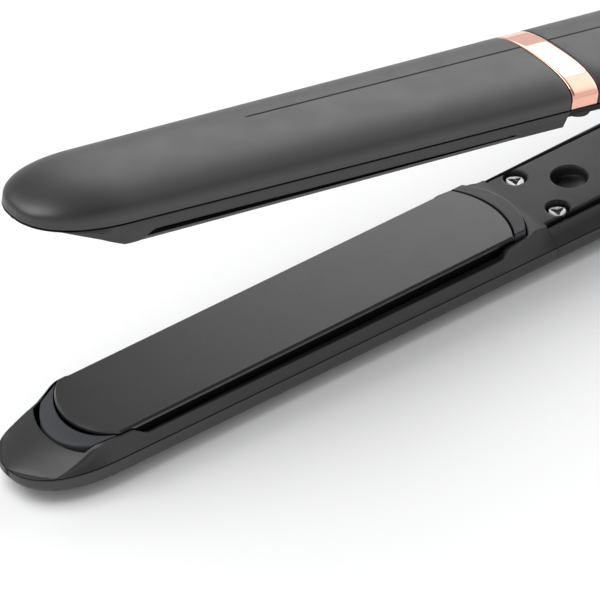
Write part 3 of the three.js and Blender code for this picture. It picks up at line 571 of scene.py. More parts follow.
class BuildShells(bpy.types.Operator):
    """Build the front and handle shells of both arms"""

    bl_idname = "straightener.shells"
    bl_label = "Shells"

    def execute(self, context):
        for build in (self.front_shell, self.handle_shell):
            for arm, place in ARMS:
                build(arm, place)
        return {"FINISHED"}

    def front_shell(self, arm, place):
        """From the tip to the band, hollow; the inner skin's rows are spread in proportion."""
        s = sizes()
        gap, radius = butt_joint(arm)
        nose, end = TIP + s.nose_length, BAND_FRONT - gap
        start = TIP + s.groove_start
        rows = spread(
            nose_rows(TIP + 0.02, nose), np.linspace(nose, end - radius, 40),
            start + np.linspace(0, GROOVE_RUN_IN, 5), end_rows(end, -1, radius),
        )
        share_of = (rows - rows[0]) / (end - rows[0])
        inner_rows = TIP + s.wall + WALL_AT_TIP + share_of * (end - TIP - s.wall - WALL_AT_TIP)
        outer = shell_grid(rows, 0, SHELL_BASE, ends=(end,), groove=True, radius=radius)
        inner = shell_grid(inner_rows, s.wall, SHELL_BASE)
        outer[0, :, 1] = 0
        inner[0, :, 1] = 0
        make_piece(
            f"{arm}_front_shell_skin", [thick(outer, inner)], place, f"{arm}_arm", "shell",
            f"{arm}_front_shell",
        )

    def handle_shell(self, arm, place):
        """From the band to the hinge, cut back round the pin."""
        s = sizes()
        gap, radius = butt_joint(arm)
        start = (BAND_FRONT if arm == "lower" else BAND_REAR) + gap
        rows = spread(
            end_rows(start, 1, radius), np.linspace(start + radius, -s.taper_end, 14),
            np.linspace(-s.taper_end, 0, 26),
        )
        outer = shell_grid(rows, 0, SHELL_BASE, ends=(start,), groove=True, radius=radius)
        inner = shell_grid(rows, s.wall, SHELL_BASE)
        skins = [cut_back(skin, -s.taper_end) for skin in (outer, inner)]
        make_piece(
            f"{arm}_handle_shell_skin", [thick(*skins)], place, f"{arm}_arm", "shell",
            f"{arm}_handle_shell",
        )


class BuildBand(bpy.types.Operator):
    """Build the plated band round the upper arm"""

    bl_idname = "straightener.band"
    bl_label = "Band"

    def execute(self, context):
        edges = [end_rows(BAND_FRONT, 1, BAND_EDGE), end_rows(BAND_REAR, -1, BAND_EDGE)]
        rows = spread(*edges, np.linspace(BAND_FRONT + BAND_EDGE, BAND_REAR - BAND_EDGE, 14))
        outer = shell_grid(rows, 0, SHELL_BASE, ends=(BAND_FRONT, BAND_REAR))
        inner = shell_grid(rows, BAND_WALL, SHELL_BASE)
        make_piece(
            "upper_band", [thick(outer, inner)], upper, "upper_arm", "trim", "upper_accent_band"
        )
        return {"FINISHED"}


# Casings.

TIP_EDGE, TIP_SEAM = 0.4, 0.15
PLATE_FRONT_BULGE, PLATE_REAR_BULGE = 6.2, 3.8
CAP_BULGE = 4.7
PLATE_FRONT = PLATE_LOW[0] + PLATE_FRONT_BULGE
PLATE_REAR = PLATE_HIGH[0] - PLATE_REAR_BULGE
CAP_FRONT = FRONT_CAP_LOW[0] + CAP_BULGE
CAP_REAR = REAR_CAP_HIGH[0] - CAP_BULGE
OPENING_HALF = PLATE_HALF + GAP
RIM_DROP, WALL_DROP, REAR_RIM_DROP = 0.8, 3.2, 1.5
TONGUE_HALF, TONGUE_END = 10.8, CASING_HIGH[0]
TONGUE_THICKNESS = 2.0
FRONT_CASING_END = BAND_FRONT - GAP
NOSE_CROWN, CROWN_FADE = 1.6, 14
CAP_TAPER, CAP_INSET = 0.17, 0.25
UPRIGHT_LEAN = 0.3
DECK_COLUMNS = 41
# Height of the casing's face above the mating plane, by X.
EDGE_PROFILE = np.array([
    [TIP, SHELL_BASE - TIP_SEAM - TIP_EDGE],
    [PLATE_FRONT - 1, RIM_DROP],
    [PLATE_FRONT + 3, RIM_DROP],
    [PLATE_FRONT + 6.6, WALL_DROP],
    [PLATE_REAR - 4.8, WALL_DROP],
    [PLATE_REAR - 3, REAR_RIM_DROP],
    [PLATE_REAR + 3, REAR_RIM_DROP],
    [PLATE_REAR + 9.5, PANEL],
    [0, PANEL],
])


def casing_edge(x):
    """Height of the casing's face above the mating plane: straight lines between the profile's
    points, rounded by a mean over a short stretch."""
    steps = np.linspace(-0.7, 0.7, 9)
    return np.mean([np.interp(x + step, *EDGE_PROFILE.T) for step in steps], axis=0)


def bow(y, half, bulge):
    """How far a bowed end lies behind its foremost point: R - sqrt(R ^ 2 - y ^ 2), with R from the
    half width and the bulge."""
    radius = (half**2 + bulge**2) / (2 * bulge)
    return radius - np.sqrt(np.maximum(radius**2 - y**2, 0))


def opening_bow(y):
    """The bow of the opening's ends, which follows the end caps."""
    return bow(y, OPENING_HALF, CAP_BULGE + GAP)


def edge_half(x_line, amount):
    """Half width where a bowed row meets the arm's outline: y = half_width(x + amount * bow(y)),
    found by repeated substitution."""
    y = half_width(x_line)
    for _ in range(60):
        y = 0.5 * y + 0.5 * half_width(x_line + amount * opening_bow(y))
    return y


def crowned_edge(x, across):
    """The casing's face with the nose's crown: it falls towards the sides as the square of the
    share across, fully ahead of the end cap and not at all beside it."""
    fade = 1 - smooth_step((x - PLATE_FRONT + 18) / CROWN_FADE)
    return np.minimum(casing_edge(x) + NOSE_CROWN * fade * across**2, CASING_BASE - 0.2)


# Lean of the casing's side, as a share of its height, by X.
LEAN_PROFILE = np.array([
    [TIP, 1.05],
    [PLATE_FRONT - 16, 0.95],
    [PLATE_FRONT - 6.5, 0.6],
    [PLATE_FRONT - 4, 0.36],
    [PLATE_FRONT - 2, 0.2],
    [PLATE_FRONT, 0.12],
    [PLATE_FRONT + 8, 0.12],
    [PLATE_REAR - 8, 0.22],
    [PLATE_REAR, 0.4],
    [PLATE_REAR + 5, 0.62],
    [PLATE_REAR + 9, 0.9],
    [-60, 0.9],
    [0, 0.7],
])


def side_profile(x, half, edge, base, corner, upright=False):
    """From the seam up the casing's side and round its corner: Y and Z as columns. The side leans
    inwards by the lean profile's share of its height at X, which upright limits behind the nose."""
    slant = np.interp(x, *LEAN_PROFILE.T)
    if upright:
        slant = np.where(x > PLATE_FRONT, np.minimum(slant, UPRIGHT_LEAN), slant)
    base = np.full_like(half, base)
    rise = base - edge
    corner = np.minimum(corner, 0.45 * rise)
    lean = half - slant * (rise - corner)
    seam = np.minimum(0.14, 0.3 * rise)
    turn = np.linspace(0, np.pi / 2, 7)
    ys = [half - seam, half - 0.25 * seam, half, (half + lean) / 2]
    zs = [base, base - 0.3 * seam, base - seam, (base + edge + corner) / 2]
    ys += [lean - corner * (1 - math.cos(t)) for t in turn]
    zs += [edge + corner * (1 - math.sin(t)) for t in turn]
    return np.stack(ys, axis=-1), np.stack(zs, axis=-1)


def front_casing_solid(upright):
    """The casing round the plate: rows are bowed like the end caps, so that the opening's ends are
    rows of the grid, and its sides are columns. Cells inside the opening are left out."""
    s = sizes()
    opened = CAP_FRONT - CAP_BULGE - GAP
    closed = CAP_REAR + CAP_BULGE + GAP
    outline_x = np.linspace(TIP, PLATE_FRONT + 12, 4000)
    outline_y = half_width(outline_x)
    line = outline_x - opening_bow(outline_y)
    nose_y = np.interp(opened, line, outline_y) * np.linspace(0, 1, 44) ** 0.9
    nose_line = np.interp(nose_y, outline_y, line)
    lip = np.array([0.04, 0.1, 0.17, 0.25])
    rows = spread(
        nose_line, opened - lip, opened, np.linspace(opened, PLATE_FRONT + 8, 40),
        np.linspace(PLATE_FRONT + 8, PLATE_REAR - 12, 24), np.linspace(PLATE_REAR - 12, closed, 44),
        closed, closed + lip, np.linspace(closed + 0.25, FRONT_CASING_END, 12),
    )
    straight_from, straight_to = PLATE_FRONT + 3, PLATE_REAR - 14
    front = np.clip((straight_from - rows) / (straight_from - opened), 0, 1)
    rear = np.where(
        rows < closed,
        np.clip((rows - straight_to) / (closed - straight_to), 0, 1),
        (FRONT_CASING_END - rows) / (FRONT_CASING_END - closed),
    )
    amount = front - np.clip(rear, 0, 1)
    half = edge_half(rows, amount)
    on_nose = rows <= opened
    half[on_nose] = np.interp(rows[on_nose], line, outline_y)
    half[0] = 0.01
    edge_x = rows + amount * opening_bow(half)
    edge_z = crowned_edge(edge_x, 1.0)
    if upright:
        edge_z = np.where(edge_x > PLATE_REAR, np.minimum(edge_z, REAR_RIM_DROP), edge_z)
    forward = np.clip((PLATE_FRONT - 4 - edge_x) / 10, 0, 1)
    side_y, side_z = side_profile(
        edge_x, half, edge_z, CASING_BASE, s.casing_corner * (1 + 6 * forward), upright
    )
    landing = side_y[:, -1:]
    narrow = 1 - CAP_TAPER * np.clip((PLATE_FRONT - edge_x) / (PLATE_FRONT - CAP_FRONT), 0, 1)
    inner = OPENING_HALF * narrow * np.minimum(half / np.interp(opened, rows, half), 1)
    inner = np.where(on_nose, np.minimum(inner, 0.96 * landing[:, 0]), inner)
    bevel = inner[:, None] + np.array([0.24, 0.15, 0.06, 0]) * (landing - inner[:, None] > 0.3)
    bevel = np.minimum(bevel, landing)
    land = landing + (bevel[:, :1] - landing) * 0.5
    deck = inner[:, None] * np.linspace(1, -1, DECK_COLUMNS)[1:-1]
    near = np.hstack([side_y, land, bevel])
    y = np.hstack([near, deck, -near[:, ::-1]])
    x = rows[:, None] + amount[:, None] * opening_bow(y)
    z = crowned_edge(x, np.clip(np.abs(y) / np.maximum(landing, 1e-6), 0, 1))
    ahead = np.maximum(np.maximum(opened - rows, rows - closed), 0)[:, None]
    beside = np.maximum(np.abs(y) - OPENING_HALF, 0)
    z = z + rounded_end(np.hypot(ahead, beside), 0.22)
    count = side_y.shape[1]
    z[:, :count] = side_z
    z[:, -count:] = side_z[:, ::-1]
    x[:, :count] = edge_x[:, None]
    x[:, -count:] = edge_x[:, None]
    top = np.stack([x, y, z], axis=-1)
    limit = np.maximum(half - 1.6, 0.3 * half)[:, None]
    bottom = np.stack([x, np.clip(y, -limit, limit), np.full_like(z, CASING_BASE)], axis=-1)
    keep = np.ones((len(rows) - 1, y.shape[1] - 1), bool)
    middle = (rows[:-1] + rows[1:]) / 2
    inside = (middle > opened) & (middle < closed)
    first = near.shape[1] - 1
    keep[np.ix_(inside, np.arange(first, first + DECK_COLUMNS - 1))] = False
    return thick(top, bottom, keep)


def round_dip(x, y, centre, radius, wall):
    """One inside a circle, nought outside it, and a smooth wall of the given width between."""
    return smooth_step((radius - np.hypot(x - centre[0], y - centre[1])) / wall + 0.5)


def slot_dip(x, y, centre, half_length, half, corner, wall):
    """As round_dip, for a rectangle with rounded corners."""
    across = np.maximum(np.abs(x - centre[0]) - half_length + corner, 0)
    along = np.maximum(np.abs(y - centre[1]) - half + corner, 0)
    return smooth_step((corner - np.hypot(across, along)) / wall + 0.5)


PEG_X = SCREW_X + 10.4
TONGUE_EDGE, FINE = 0.32, 0.15
SCREW_WELL = 1.4
SOCKET_RADIUS, SOCKET_DEPTH = 4.4, 3.0


def tongue_solid(with_socket):
    """The casing's tongue as a height over X and Y: a flat panel with two screw recesses and, on
    the lower arm, a socket whose floor slopes up towards the handle."""
    rows = spread(
        np.linspace(FRONT_CASING_END, -124, 10), np.arange(-124, -102.5, FINE),
        np.linspace(-102.5, TONGUE_END - 0.4, 14), end_rows(TONGUE_END, -1, 0.4),
    )
    edge = np.array([0, 0.03, 0.1, 0.2, TONGUE_EDGE])
    flat = np.arange(-TONGUE_HALF + TONGUE_EDGE, TONGUE_HALF - TONGUE_EDGE, FINE)
    columns = spread(flat, TONGUE_HALF - edge, edge - TONGUE_HALF)
    x, y = np.meshgrid(rows, columns[::-1], indexing="ij")
    z = PANEL + rounded_end(np.minimum(TONGUE_HALF - np.abs(y), TONGUE_END - x), TONGUE_EDGE)
    depth = SCREW_TOP - PANEL + SCREW_WELL
    for side in (-1, 1):
        centre = (SCREW_X, side * SCREW_Y)
        z = z + depth * round_dip(x, y, centre, SCREW_RADIUS + 0.38, 0.34)
        z = z + 0.12 * round_dip(x, y, centre, SCREW_RADIUS + 0.75, 0.5)
    if with_socket:
        slope = smooth_step(((x - PEG_X) * 0.55 + y * 0.85) / SOCKET_RADIUS * 0.62 + 0.4)
        bowl = round_dip(x, y, (PEG_X, 0), SOCKET_RADIUS - 0.1, 0.9)
        z = z + SOCKET_DEPTH * bowl * (1 - 0.42 * slope)
    top = np.stack([x, y, z], axis=-1)
    return thick(top, top + [0, 0, TONGUE_THICKNESS])


BUTTONS = ("power", "minus", "plus")
HANDLE_CASING_START = FRONT_CASING_END + 0.06
RAIL_DROP, CHANNEL_DROP, CHANNEL_HALF = 0.6, 1.5, 11.6
CUT_START, DETAIL_END = -30, -32
DECK_STEP, BUTT_EDGE, SIDE_WALL = 0.25, 0.2, 1.7
KEY_WELL, KEY_CLEAR, LENS_WELL, LENS_CLEAR = 2.2, 0.28, 1.5, 0.18


def middle_and_half(node):
    """Middle and half sizes of a lower-arm node in the arm's own frame."""
    low, high = arm_box(node)
    return (low + high) / 2, (high - low) / 2


def handle_casing_solid(with_controls):
    """The handle's casing: a flat panel between leaning sides, with a notch for the tongue and, on
    the lower arm, openings for the buttons and the display. Its rear follows the hinge's
    clearance."""
    s = sizes()
    notch_end, notch_half = TONGUE_END + GAP, TONGUE_HALF + GAP
    rows = spread(
        end_rows(HANDLE_CASING_START, 1, BUTT_EDGE),
        np.linspace(HANDLE_CASING_START + BUTT_EDGE, notch_end, 16),
        np.arange(notch_end, DETAIL_END, DECK_STEP), np.linspace(DETAIL_END, 0, 12),
    )
    half = half_width(rows)
    edge_z = np.full_like(rows, PANEL + RAIL_DROP)
    side_y, side_z = side_profile(rows, half, edge_z, CASING_BASE, s.casing_corner)
    land = side_y[:, -1:] + (notch_half - side_y[:, -1:]) * np.linspace(0.2, 0.95, 5)
    across = np.arange(notch_half, -notch_half - 0.01, -DECK_STEP)
    deck = np.broadcast_to(across, (len(rows), len(across)))
    near = np.hstack([side_y, land])
    y = np.hstack([near, deck, -near[:, ::-1]])
    x = np.broadcast_to(rows[:, None], y.shape).copy()
    z = PANEL + rounded_end(np.abs(x - notch_end), 0.28)
    beside = smooth_step((np.abs(y) - TONGUE_HALF) / 0.3)
    rail = smooth_step((np.abs(y) - CHANNEL_HALF) / 0.8)
    z = z + (CHANNEL_DROP - (CHANNEL_DROP - RAIL_DROP) * rail) * beside
    if with_controls:
        for name in BUTTONS:
            middle, size = middle_and_half(f"{name}_button")
            well = (size[0] + KEY_CLEAR, size[1] + KEY_CLEAR, size[1] + 0.1, 0.3)
            z = z + KEY_WELL * slot_dip(x, y, middle, *well)
        middle, size = middle_and_half("display_window")
        well = (size[0] + LENS_CLEAR, size[1] + LENS_CLEAR, 1.0, 0.26)
        z = z + LENS_WELL * slot_dip(x, y, middle, *well)
    count = side_y.shape[1]
    top_z = z.copy()
    top_z[:, :count], top_z[:, -count:] = side_z, side_z[:, ::-1]
    top = np.stack([x, y, top_z], axis=-1)
    limit = (half - SIDE_WALL)[:, None]
    under = np.where(np.abs(y) < limit - 0.3, z + SIDE_WALL, CASING_BASE)
    bottom = np.stack([x, np.clip(y, -limit, limit), under], axis=-1)
    keep = np.ones((len(rows) - 1, y.shape[1] - 1), bool)
    notch = (rows[:-1] + rows[1:]) / 2 < notch_end
    first = near.shape[1]
    keep[np.ix_(notch, np.arange(first, first + len(across) - 1))] = False
    return thick(cut_back(top, CUT_START), cut_back(bottom, CUT_START), keep)


class BuildCasings(bpy.types.Operator):
    """Build the front and handle casings of both arms"""

    bl_idname = "straightener.casings"
    bl_label = "Casings"

    def execute(self, context):
        for arm, place in ARMS:
            lying = arm == "lower"
            pieces = {
                "front_casing": [front_casing_solid(not lying), tongue_solid(lying)],
                "handle_casing": [handle_casing_solid(lying)],
            }
            for name, solids in pieces.items():
                make_piece(
                    f"{arm}_{name}_skin", solids, place, f"{arm}_arm", "casing", f"{arm}_{name}"
                )
        return {"FINISHED"}


# Plates and end caps.


def across_between(start, finish, steps, half, front_rows, rear_rows):
    """A grid over a crescent or plate: across it from side to side, and along it from the curve
    start to the curve finish, with extra rows and columns for the rounded edges. Returns X, Y and
    the distances to the front, rear and nearer side."""
    edge = np.array([0, 0.03, 0.09, 0.18, 0.3, 0.45, 0.46])
    y = spread(np.linspace(-half + 0.45, half - 0.45, steps), half - edge, edge - half)[::-1]
    first, last = start(y) + front_rows[-1], finish(y) - rear_rows[-1]
    middle = first + (last - first) * np.linspace(0, 1, 24)[:, None]
    lead = start(y) + front_rows[:-1, None]
    tail = finish(y) - rear_rows[::-1][1:, None]
    x = np.vstack([lead, middle, tail])
    y = np.broadcast_to(y, x.shape)
    return x, y, x - start(y), finish(y) - x, half - np.abs(y)


PLATE_SIDE, UNDERCUT, OVERLAP = 1.1, 1.5, 0.3


def plate_slab(inset, face, back):
    """A slab with an even bevel round the plate's bowed outline, drawn in by the inset."""
    bevel = sizes().plate_bevel
    rows = np.array([0, 0.03, 0.5 * bevel, bevel - 0.03, bevel, bevel + 0.08])
    x, y, ahead, behind, beside = across_between(
        lambda y: PLATE_LOW[0] + inset + bow(y, PLATE_HALF, PLATE_FRONT_BULGE),
        lambda y: PLATE_HIGH[0] - inset - bow(y, PLATE_HALF, PLATE_REAR_BULGE),
        49, PLATE_HALF - inset, rows, rows,
    )
    distance = np.minimum(np.minimum(ahead, behind), beside)
    drop = np.clip(bevel - distance, 0, bevel)
    top = np.stack([x, y, face + drop], axis=-1)
    bottom = np.stack([x, y, np.full_like(x, back)], axis=-1)
    return thick(top, bottom)


def plate_solids():
    """The heating plate: a flat slab with straight sides, and a narrower foot behind it."""
    return [
        plate_slab(0, PLATE_FACE, PLATE_FACE + PLATE_SIDE),
        plate_slab(UNDERCUT, PLATE_FACE + PLATE_SIDE - OVERLAP, PLATE_BACK),
    ]


def front_cap_solid():
    """Crescent ahead of the plate: it slopes down with the nose and rolls over at its edge."""
    rows = np.array([0, 0.04, 0.12, 0.25, 0.42, 0.6])
    x, y, ahead, behind, beside = across_between(
        lambda y: FRONT_CAP_LOW[0] + CAP_INSET + bow(y, PLATE_HALF, CAP_BULGE),
        lambda y: PLATE_LOW[0] - GAP + bow(y, OPENING_HALF, PLATE_FRONT_BULGE + GAP),
        61, PLATE_HALF - CAP_INSET, rows, np.array([0, 0.05, 0.15, 0.25]),
    )
    y = y * (1 - CAP_TAPER * behind / (ahead + behind))
    slope = (EDGE_PROFILE[0, 1] - RIM_DROP) / (PLATE_FRONT - 1 - TIP)
    face = 0.5 + slope * np.maximum(PLATE_FRONT - x, 0)
    roll = rounded_end(np.minimum(ahead, beside + 0.15), 0.6) + rounded_end(behind, 0.2)
    top = np.stack([x, y, face + roll], axis=-1)
    bottom = np.stack([x, y, np.full_like(x, FRONT_CAP_HIGH[2])], axis=-1)
    return thick(top, bottom)


def rear_cap_solid():
    """Crescent behind the plate, level with it, with a bevelled outer edge."""
    rows = np.array([0, 0.05, 0.15, 0.22])
    x, y, ahead, behind, beside = across_between(
        lambda y: PLATE_HIGH[0] + GAP - bow(y, OPENING_HALF, PLATE_REAR_BULGE + GAP),
        lambda y: REAR_CAP_HIGH[0] - CAP_INSET - bow(y, PLATE_HALF, CAP_BULGE),
        61, PLATE_HALF - CAP_INSET, rows, np.array([0, 0.04, 0.12, 0.25, 0.42]),
    )
    roll = rounded_end(np.minimum(behind, beside), 0.4) + rounded_end(ahead, 0.12)
    top = np.stack([x, y, PLATE_FACE + roll], axis=-1)
    bottom = np.stack([x, y, np.full_like(x, REAR_CAP_HIGH[2])], axis=-1)
    return thick(top, bottom)


class BuildPlates(bpy.types.Operator):
    """Build the heating plates and the end caps that float with them"""

    bl_idname = "straightener.plates"
    bl_label = "Plates and end caps"

    def execute(self, context):
        for arm, place in ARMS:
            body = f"{arm}_plate"
            make_piece(
                f"{arm}_plate_coated", plate_solids(), place, body, "plate",
                f"{arm}_heating_plate", crease=20,
            )
            for end, finish, solid in (
                ("front", "cap", front_cap_solid()), ("rear", "rear_cap", rear_cap_solid())
            ):
                make_piece(
                    f"{arm}_{end}_cap", [solid], place, body, finish, f"{arm}_{end}_end_cap"
                )
        return {"FINISHED"}


# Screws, peg, controls and lock.


SOCKET_SHARE = 0.72
THREAD_RADIUS, THREAD_CORE = 1.2, 1.0


def tri_lobe(turn):
    """Radius of a rounded triangle at an angle, as a share of its largest."""
    folded = np.mod(turn, 2 * np.pi / 3) - np.pi / 3
    return 0.5 / np.maximum(np.cos(folded), 0.5) * (1 + 0.12 * np.cos(3 * turn))


def screw_solids(y):
    """A screw's head as rings round its middle, with a three-sided recess whose edge is a ring, and
    its shank as a turned rod."""
    turn = np.linspace(0, 2 * np.pi, 96, endpoint=False)
    lobe = SCREW_RADIUS * SOCKET_SHARE * tri_lobe(turn)
    inner = np.array([0.02, 0.35, 0.7, 0.9, 0.97, 1.0])
    outer = np.array([0.04, 0.3, 0.6, 0.8, 0.9, 0.97, 1.0])
    radius = np.vstack([inner[:, None] * lobe, lobe + outer[:, None] * (SCREW_RADIUS - lobe)])
    drop = np.array([0.85, 0.85, 0.85, 0.8, 0.4, 0.08, 0, -0.02, -0.02, 0, 0.05, 0.16, 0.35])
    height = np.broadcast_to(SCREW_TOP + drop[:, None], radius.shape)
    under = np.full_like(turn, SCREW_TOP + 1.1)
    radius = np.vstack([radius, radius[-1], 0.02 * np.ones_like(turn)])
    height = np.vstack([height, under, under])
    rings = np.stack([SCREW_X + radius * np.cos(turn), y + radius * np.sin(turn), height], axis=-1)
    shank = [(0, SCREW_TOP + 1.0), (THREAD_RADIUS, SCREW_TOP + 1.0)]
    threads = np.linspace(SCREW_TOP + 1.4, SCREW_HIGH[2] - 0.6, 14)
    shank += [(THREAD_RADIUS if i % 2 else THREAD_CORE, z) for i, z in enumerate(threads)]
    shank += [(0.7, SCREW_HIGH[2]), (0, SCREW_HIGH[2])]
    return [ringed(rings), turned(shank, "z", 24, (SCREW_X, y, 0))]


PEG_RADIUS, PEG_EDGE, PEG_DEPTH = 3.9, 0.9, 1


class BuildScrews(bpy.types.Operator):
    """Build the casing screws and the peg that lines the arms up"""

    bl_idname = "straightener.screws"
    bl_label = "Screws and peg"

    def execute(self, context):
        for arm, place in ARMS:
            for side, y in (("left", SCREW_Y), ("right", -SCREW_Y)):
                make_piece(
                    f"{arm}_screw_{side}", screw_solids(y), place, f"{arm}_arm", "steel",
                    f"{arm}_casing_screw_{side}", crease=30,
                )
        start = PANEL - (3 * PANEL + PEG_DEPTH - GAP)
        foot = [(3.9, PANEL - 0.5), (4.0, PANEL - 0.25), (4.3, PANEL - 0.02), (4.3, PANEL + 0.3)]
        top = arc((PEG_RADIUS - PEG_EDGE, start + PEG_EDGE), PEG_EDGE, -90, 0, 9)
        profile = [(0, start), *top, *foot, (0, PANEL + 0.3)]
        make_piece(
            "upper_peg", [turned(profile, "z", 72, (PEG_X, 0, 0))], upper, "upper_arm", "casing",
            "upper_locating_peg",
        )
        return {"FINISHED"}


def pad_solid(middle, half_length, half, fullness, top, bottom, dish, edge=0.35, rings=14):
    """A rounded oblong: rings that are superellipses of growing size, |x / a| ^ n + |y / b| ^ n =
    1, with a dished or domed top and a quarter-round edge."""
    x, y = oblong(96, 2 / fullness)
    outer = 1 - edge / half * np.array([0.7, 0.4, 0.2, 0.05, 0])
    size = np.concatenate([np.linspace(0.02, 1 - edge / half, rings), outer])
    drop = rounded_end((1 - size) * half, edge) + dish * (1 - size**2)
    step = 1 if bottom > top else -1
    z = top + step * drop
    size = np.append(size, [1, 0.02])
    z = np.append(z, [bottom, bottom])
    rings_x = middle[0] + half_length * size[:, None] * x
    rings_y = middle[1] + half * size[:, None] * y
    return ringed(np.stack([rings_x, rings_y, np.broadcast_to(z[:, None], rings_x.shape)], axis=-1))


class BuildControls(bpy.types.Operator):
    """Build the buttons and the display window in the lower handle"""

    bl_idname = "straightener.controls"
    bl_label = "Controls"

    def execute(self, context):
        for name in BUTTONS:
            middle, size = middle_and_half(f"{name}_button")
            low, high = arm_box(f"{name}_button")
            solids = [
                pad_solid(middle, size[0], size[1], 2.9, low[2], PANEL + 1.7, 0.28),
                pad_solid(middle, 1.5, 1.5, 6, PANEL + 1.5, high[2], 0, 0.2, 4),
            ]
            bars = {"power": (), "minus": ((1.5, 0.28),), "plus": ((1.5, 0.28), (0.28, 1.5))}
            for along, across in bars[name]:
                bar = (along, across, 4, low[2] + 0.08, low[2] + 0.6, 0, 0.12, 3)
                solids.append(pad_solid(middle, *bar))
            make_piece(
                f"{name}_key", solids, lower, f"{name}_button", "button", f"{name}_button"
            )
        middle, size = middle_and_half("display_window")
        low, high = arm_box("display_window")
        lens = pad_solid(middle, size[0], size[1], 7, low[2], high[2], -0.05, 0.2)
        make_piece("display_lens", [lens], lower, "lower_arm", "lens", "display_window")
        return {"FINISHED"}


SLIDER_X, SLIDER_HALF_LENGTH, SLIDER_HALF = -40.0, 4.5, 3.0
SLIDER_HEIGHT, SLIDER_EDGE = 1.15, 0.4
RIDGE_HEIGHT, RIDGE_PITCH = 0.16, 1.2


class BuildLock(bpy.types.Operator):
    """Build the lock slider on the upper handle"""

    bl_idname = "straightener.lock"
    bl_label = "Lock slider"

    def execute(self, context):
        edge = np.array([0, 0.04, 0.12, 0.25, SLIDER_EDGE])
        length_flat, width_flat = SLIDER_HALF_LENGTH - SLIDER_EDGE, SLIDER_HALF - SLIDER_EDGE
        rows = spread(
            np.arange(-length_flat, length_flat, 0.1),
            SLIDER_HALF_LENGTH - edge, edge - SLIDER_HALF_LENGTH,
        )
        columns = spread(
            np.linspace(-width_flat, width_flat, 20), SLIDER_HALF - edge, edge - SLIDER_HALF
        )
        x, y = np.meshgrid(rows, columns, indexing="ij")
        distance = np.minimum(SLIDER_HALF_LENGTH - np.abs(x), SLIDER_HALF - np.abs(y))
        ridges = RIDGE_HEIGHT * np.cos(2 * np.pi * x / RIDGE_PITCH)
        ridges = ridges * smooth_step((3.4 - np.abs(x)) / 0.5)
        ridges = ridges * smooth_step((2.3 - np.abs(y)) / 0.4)
        z = CROWN + GAP + SLIDER_HEIGHT - rounded_end(distance, SLIDER_EDGE)
        z = z + np.maximum(ridges, -0.1)
        top = np.stack([x + SLIDER_X, y, z], axis=-1)
        bottom = np.stack([x + SLIDER_X, y, np.full_like(x, CROWN + GAP)], axis=-1)
        middle = (SLIDER_X, 0)
        inside = CROWN - sizes().wall - GAP
        solids = [
            thick(top, bottom),
            pad_solid(middle, 3, 1.5, 8, inside - 1.2, CROWN + 1, 0, 0.1, 4),
            pad_solid(middle, 3, 2.5, 8, inside - 1.2, inside, 0, 0.1, 4),
        ]
        make_piece("lock_key", solids, upper, "lock_slider", "button", "lock_slider")
        return {"FINISHED"}


# Hinge and cord exit. These are drawn about the pin, with Z up.

CHEEK_INNER = 11.0
CHEEK_OUTER = YOKE_HIGH[1]
CHEEK_IN_EDGE, CHEEK_OUT_EDGE = 0.5, 1.2
KNUCKLE_SWEEP = CHEEK_RADIUS - 4.3
PIN_CAP_RADIUS, PIN_CAP_EDGE = 6.0, 0.35
PIN_RADIUS, PIN_HALF_LENGTH, PIN_EDGE = 2.2, 14.9, 0.2
BORE_RADIUS = 2.5
WASHER_RADIUS, WASHER_EDGE = 5.72, 0.12
RECESS = 1.1
BOSS_RADIUS, BOSS_END, BOSS_LIP, BOSS_FILLET = 8.4, YOKE_HIGH[0], 0.7, 1.6
FILLET_END, STEM_BORE, CHAMBER_END, CHAMBER_RADIUS = 11.8, 4.6, 11.7, 6.6
NECK_HALF, NECK_LOW, NECK_HIGH, NECK_END = 9.6, -11.2, -5.2, -10.6
BRIDGE_START, BRIDGE_END = -165, 30
SPRING_TURNS, SPRING_PITCH, SPRING_RADIUS, SPRING_LEG, WIRE_RADIUS = 3, 1.8, 4.6, 12, 0.6
SPRING_STEPS = 170


def cheek_solid(side):
    """A hinge cheek as a turned ring: rounded rim, a shallow step round the pin cap's recess."""
    r, inner, outer = CHEEK_RADIUS, CHEEK_INNER, CHEEK_OUTER
    lip = PIN_CAP_RADIUS + GAP
    profile = [
        (BORE_RADIUS, inner),
        *arc((r - CHEEK_IN_EDGE, inner + CHEEK_IN_EDGE), CHEEK_IN_EDGE, -90, 0, 8),
        *arc((r - CHEEK_OUT_EDGE, outer - CHEEK_OUT_EDGE), CHEEK_OUT_EDGE, 0, 90, 8),
        (lip + 0.35, outer), (lip + 0.1, outer - 0.08), (lip, outer - 0.3), (lip, outer - RECESS),
        (BORE_RADIUS, outer - RECESS), (BORE_RADIUS, inner),
    ]
    return turned([(radius, side * along) for radius, along in profile], "y", 120)


def bridge_solid():
    """The bridge between the cheeks: part of a round shell about the pin, with eased ends."""
    turn = np.radians(np.linspace(BRIDGE_START, BRIDGE_END, 66))[:, None]
    y = np.linspace(-CHEEK_INNER - 0.2, CHEEK_INNER + 0.2, 9)
    ease = rounded_end(np.minimum(turn - turn[0], turn[-1] - turn) * CHEEK_RADIUS, 0.8)
    skins = [
        np.stack(np.broadcast_arrays(radius * np.cos(turn), y, radius * np.sin(turn)), axis=-1)
        for radius in (CHEEK_RADIUS - 0.02 - ease, KNUCKLE_SWEEP)
    ]
    return thick(*skins)


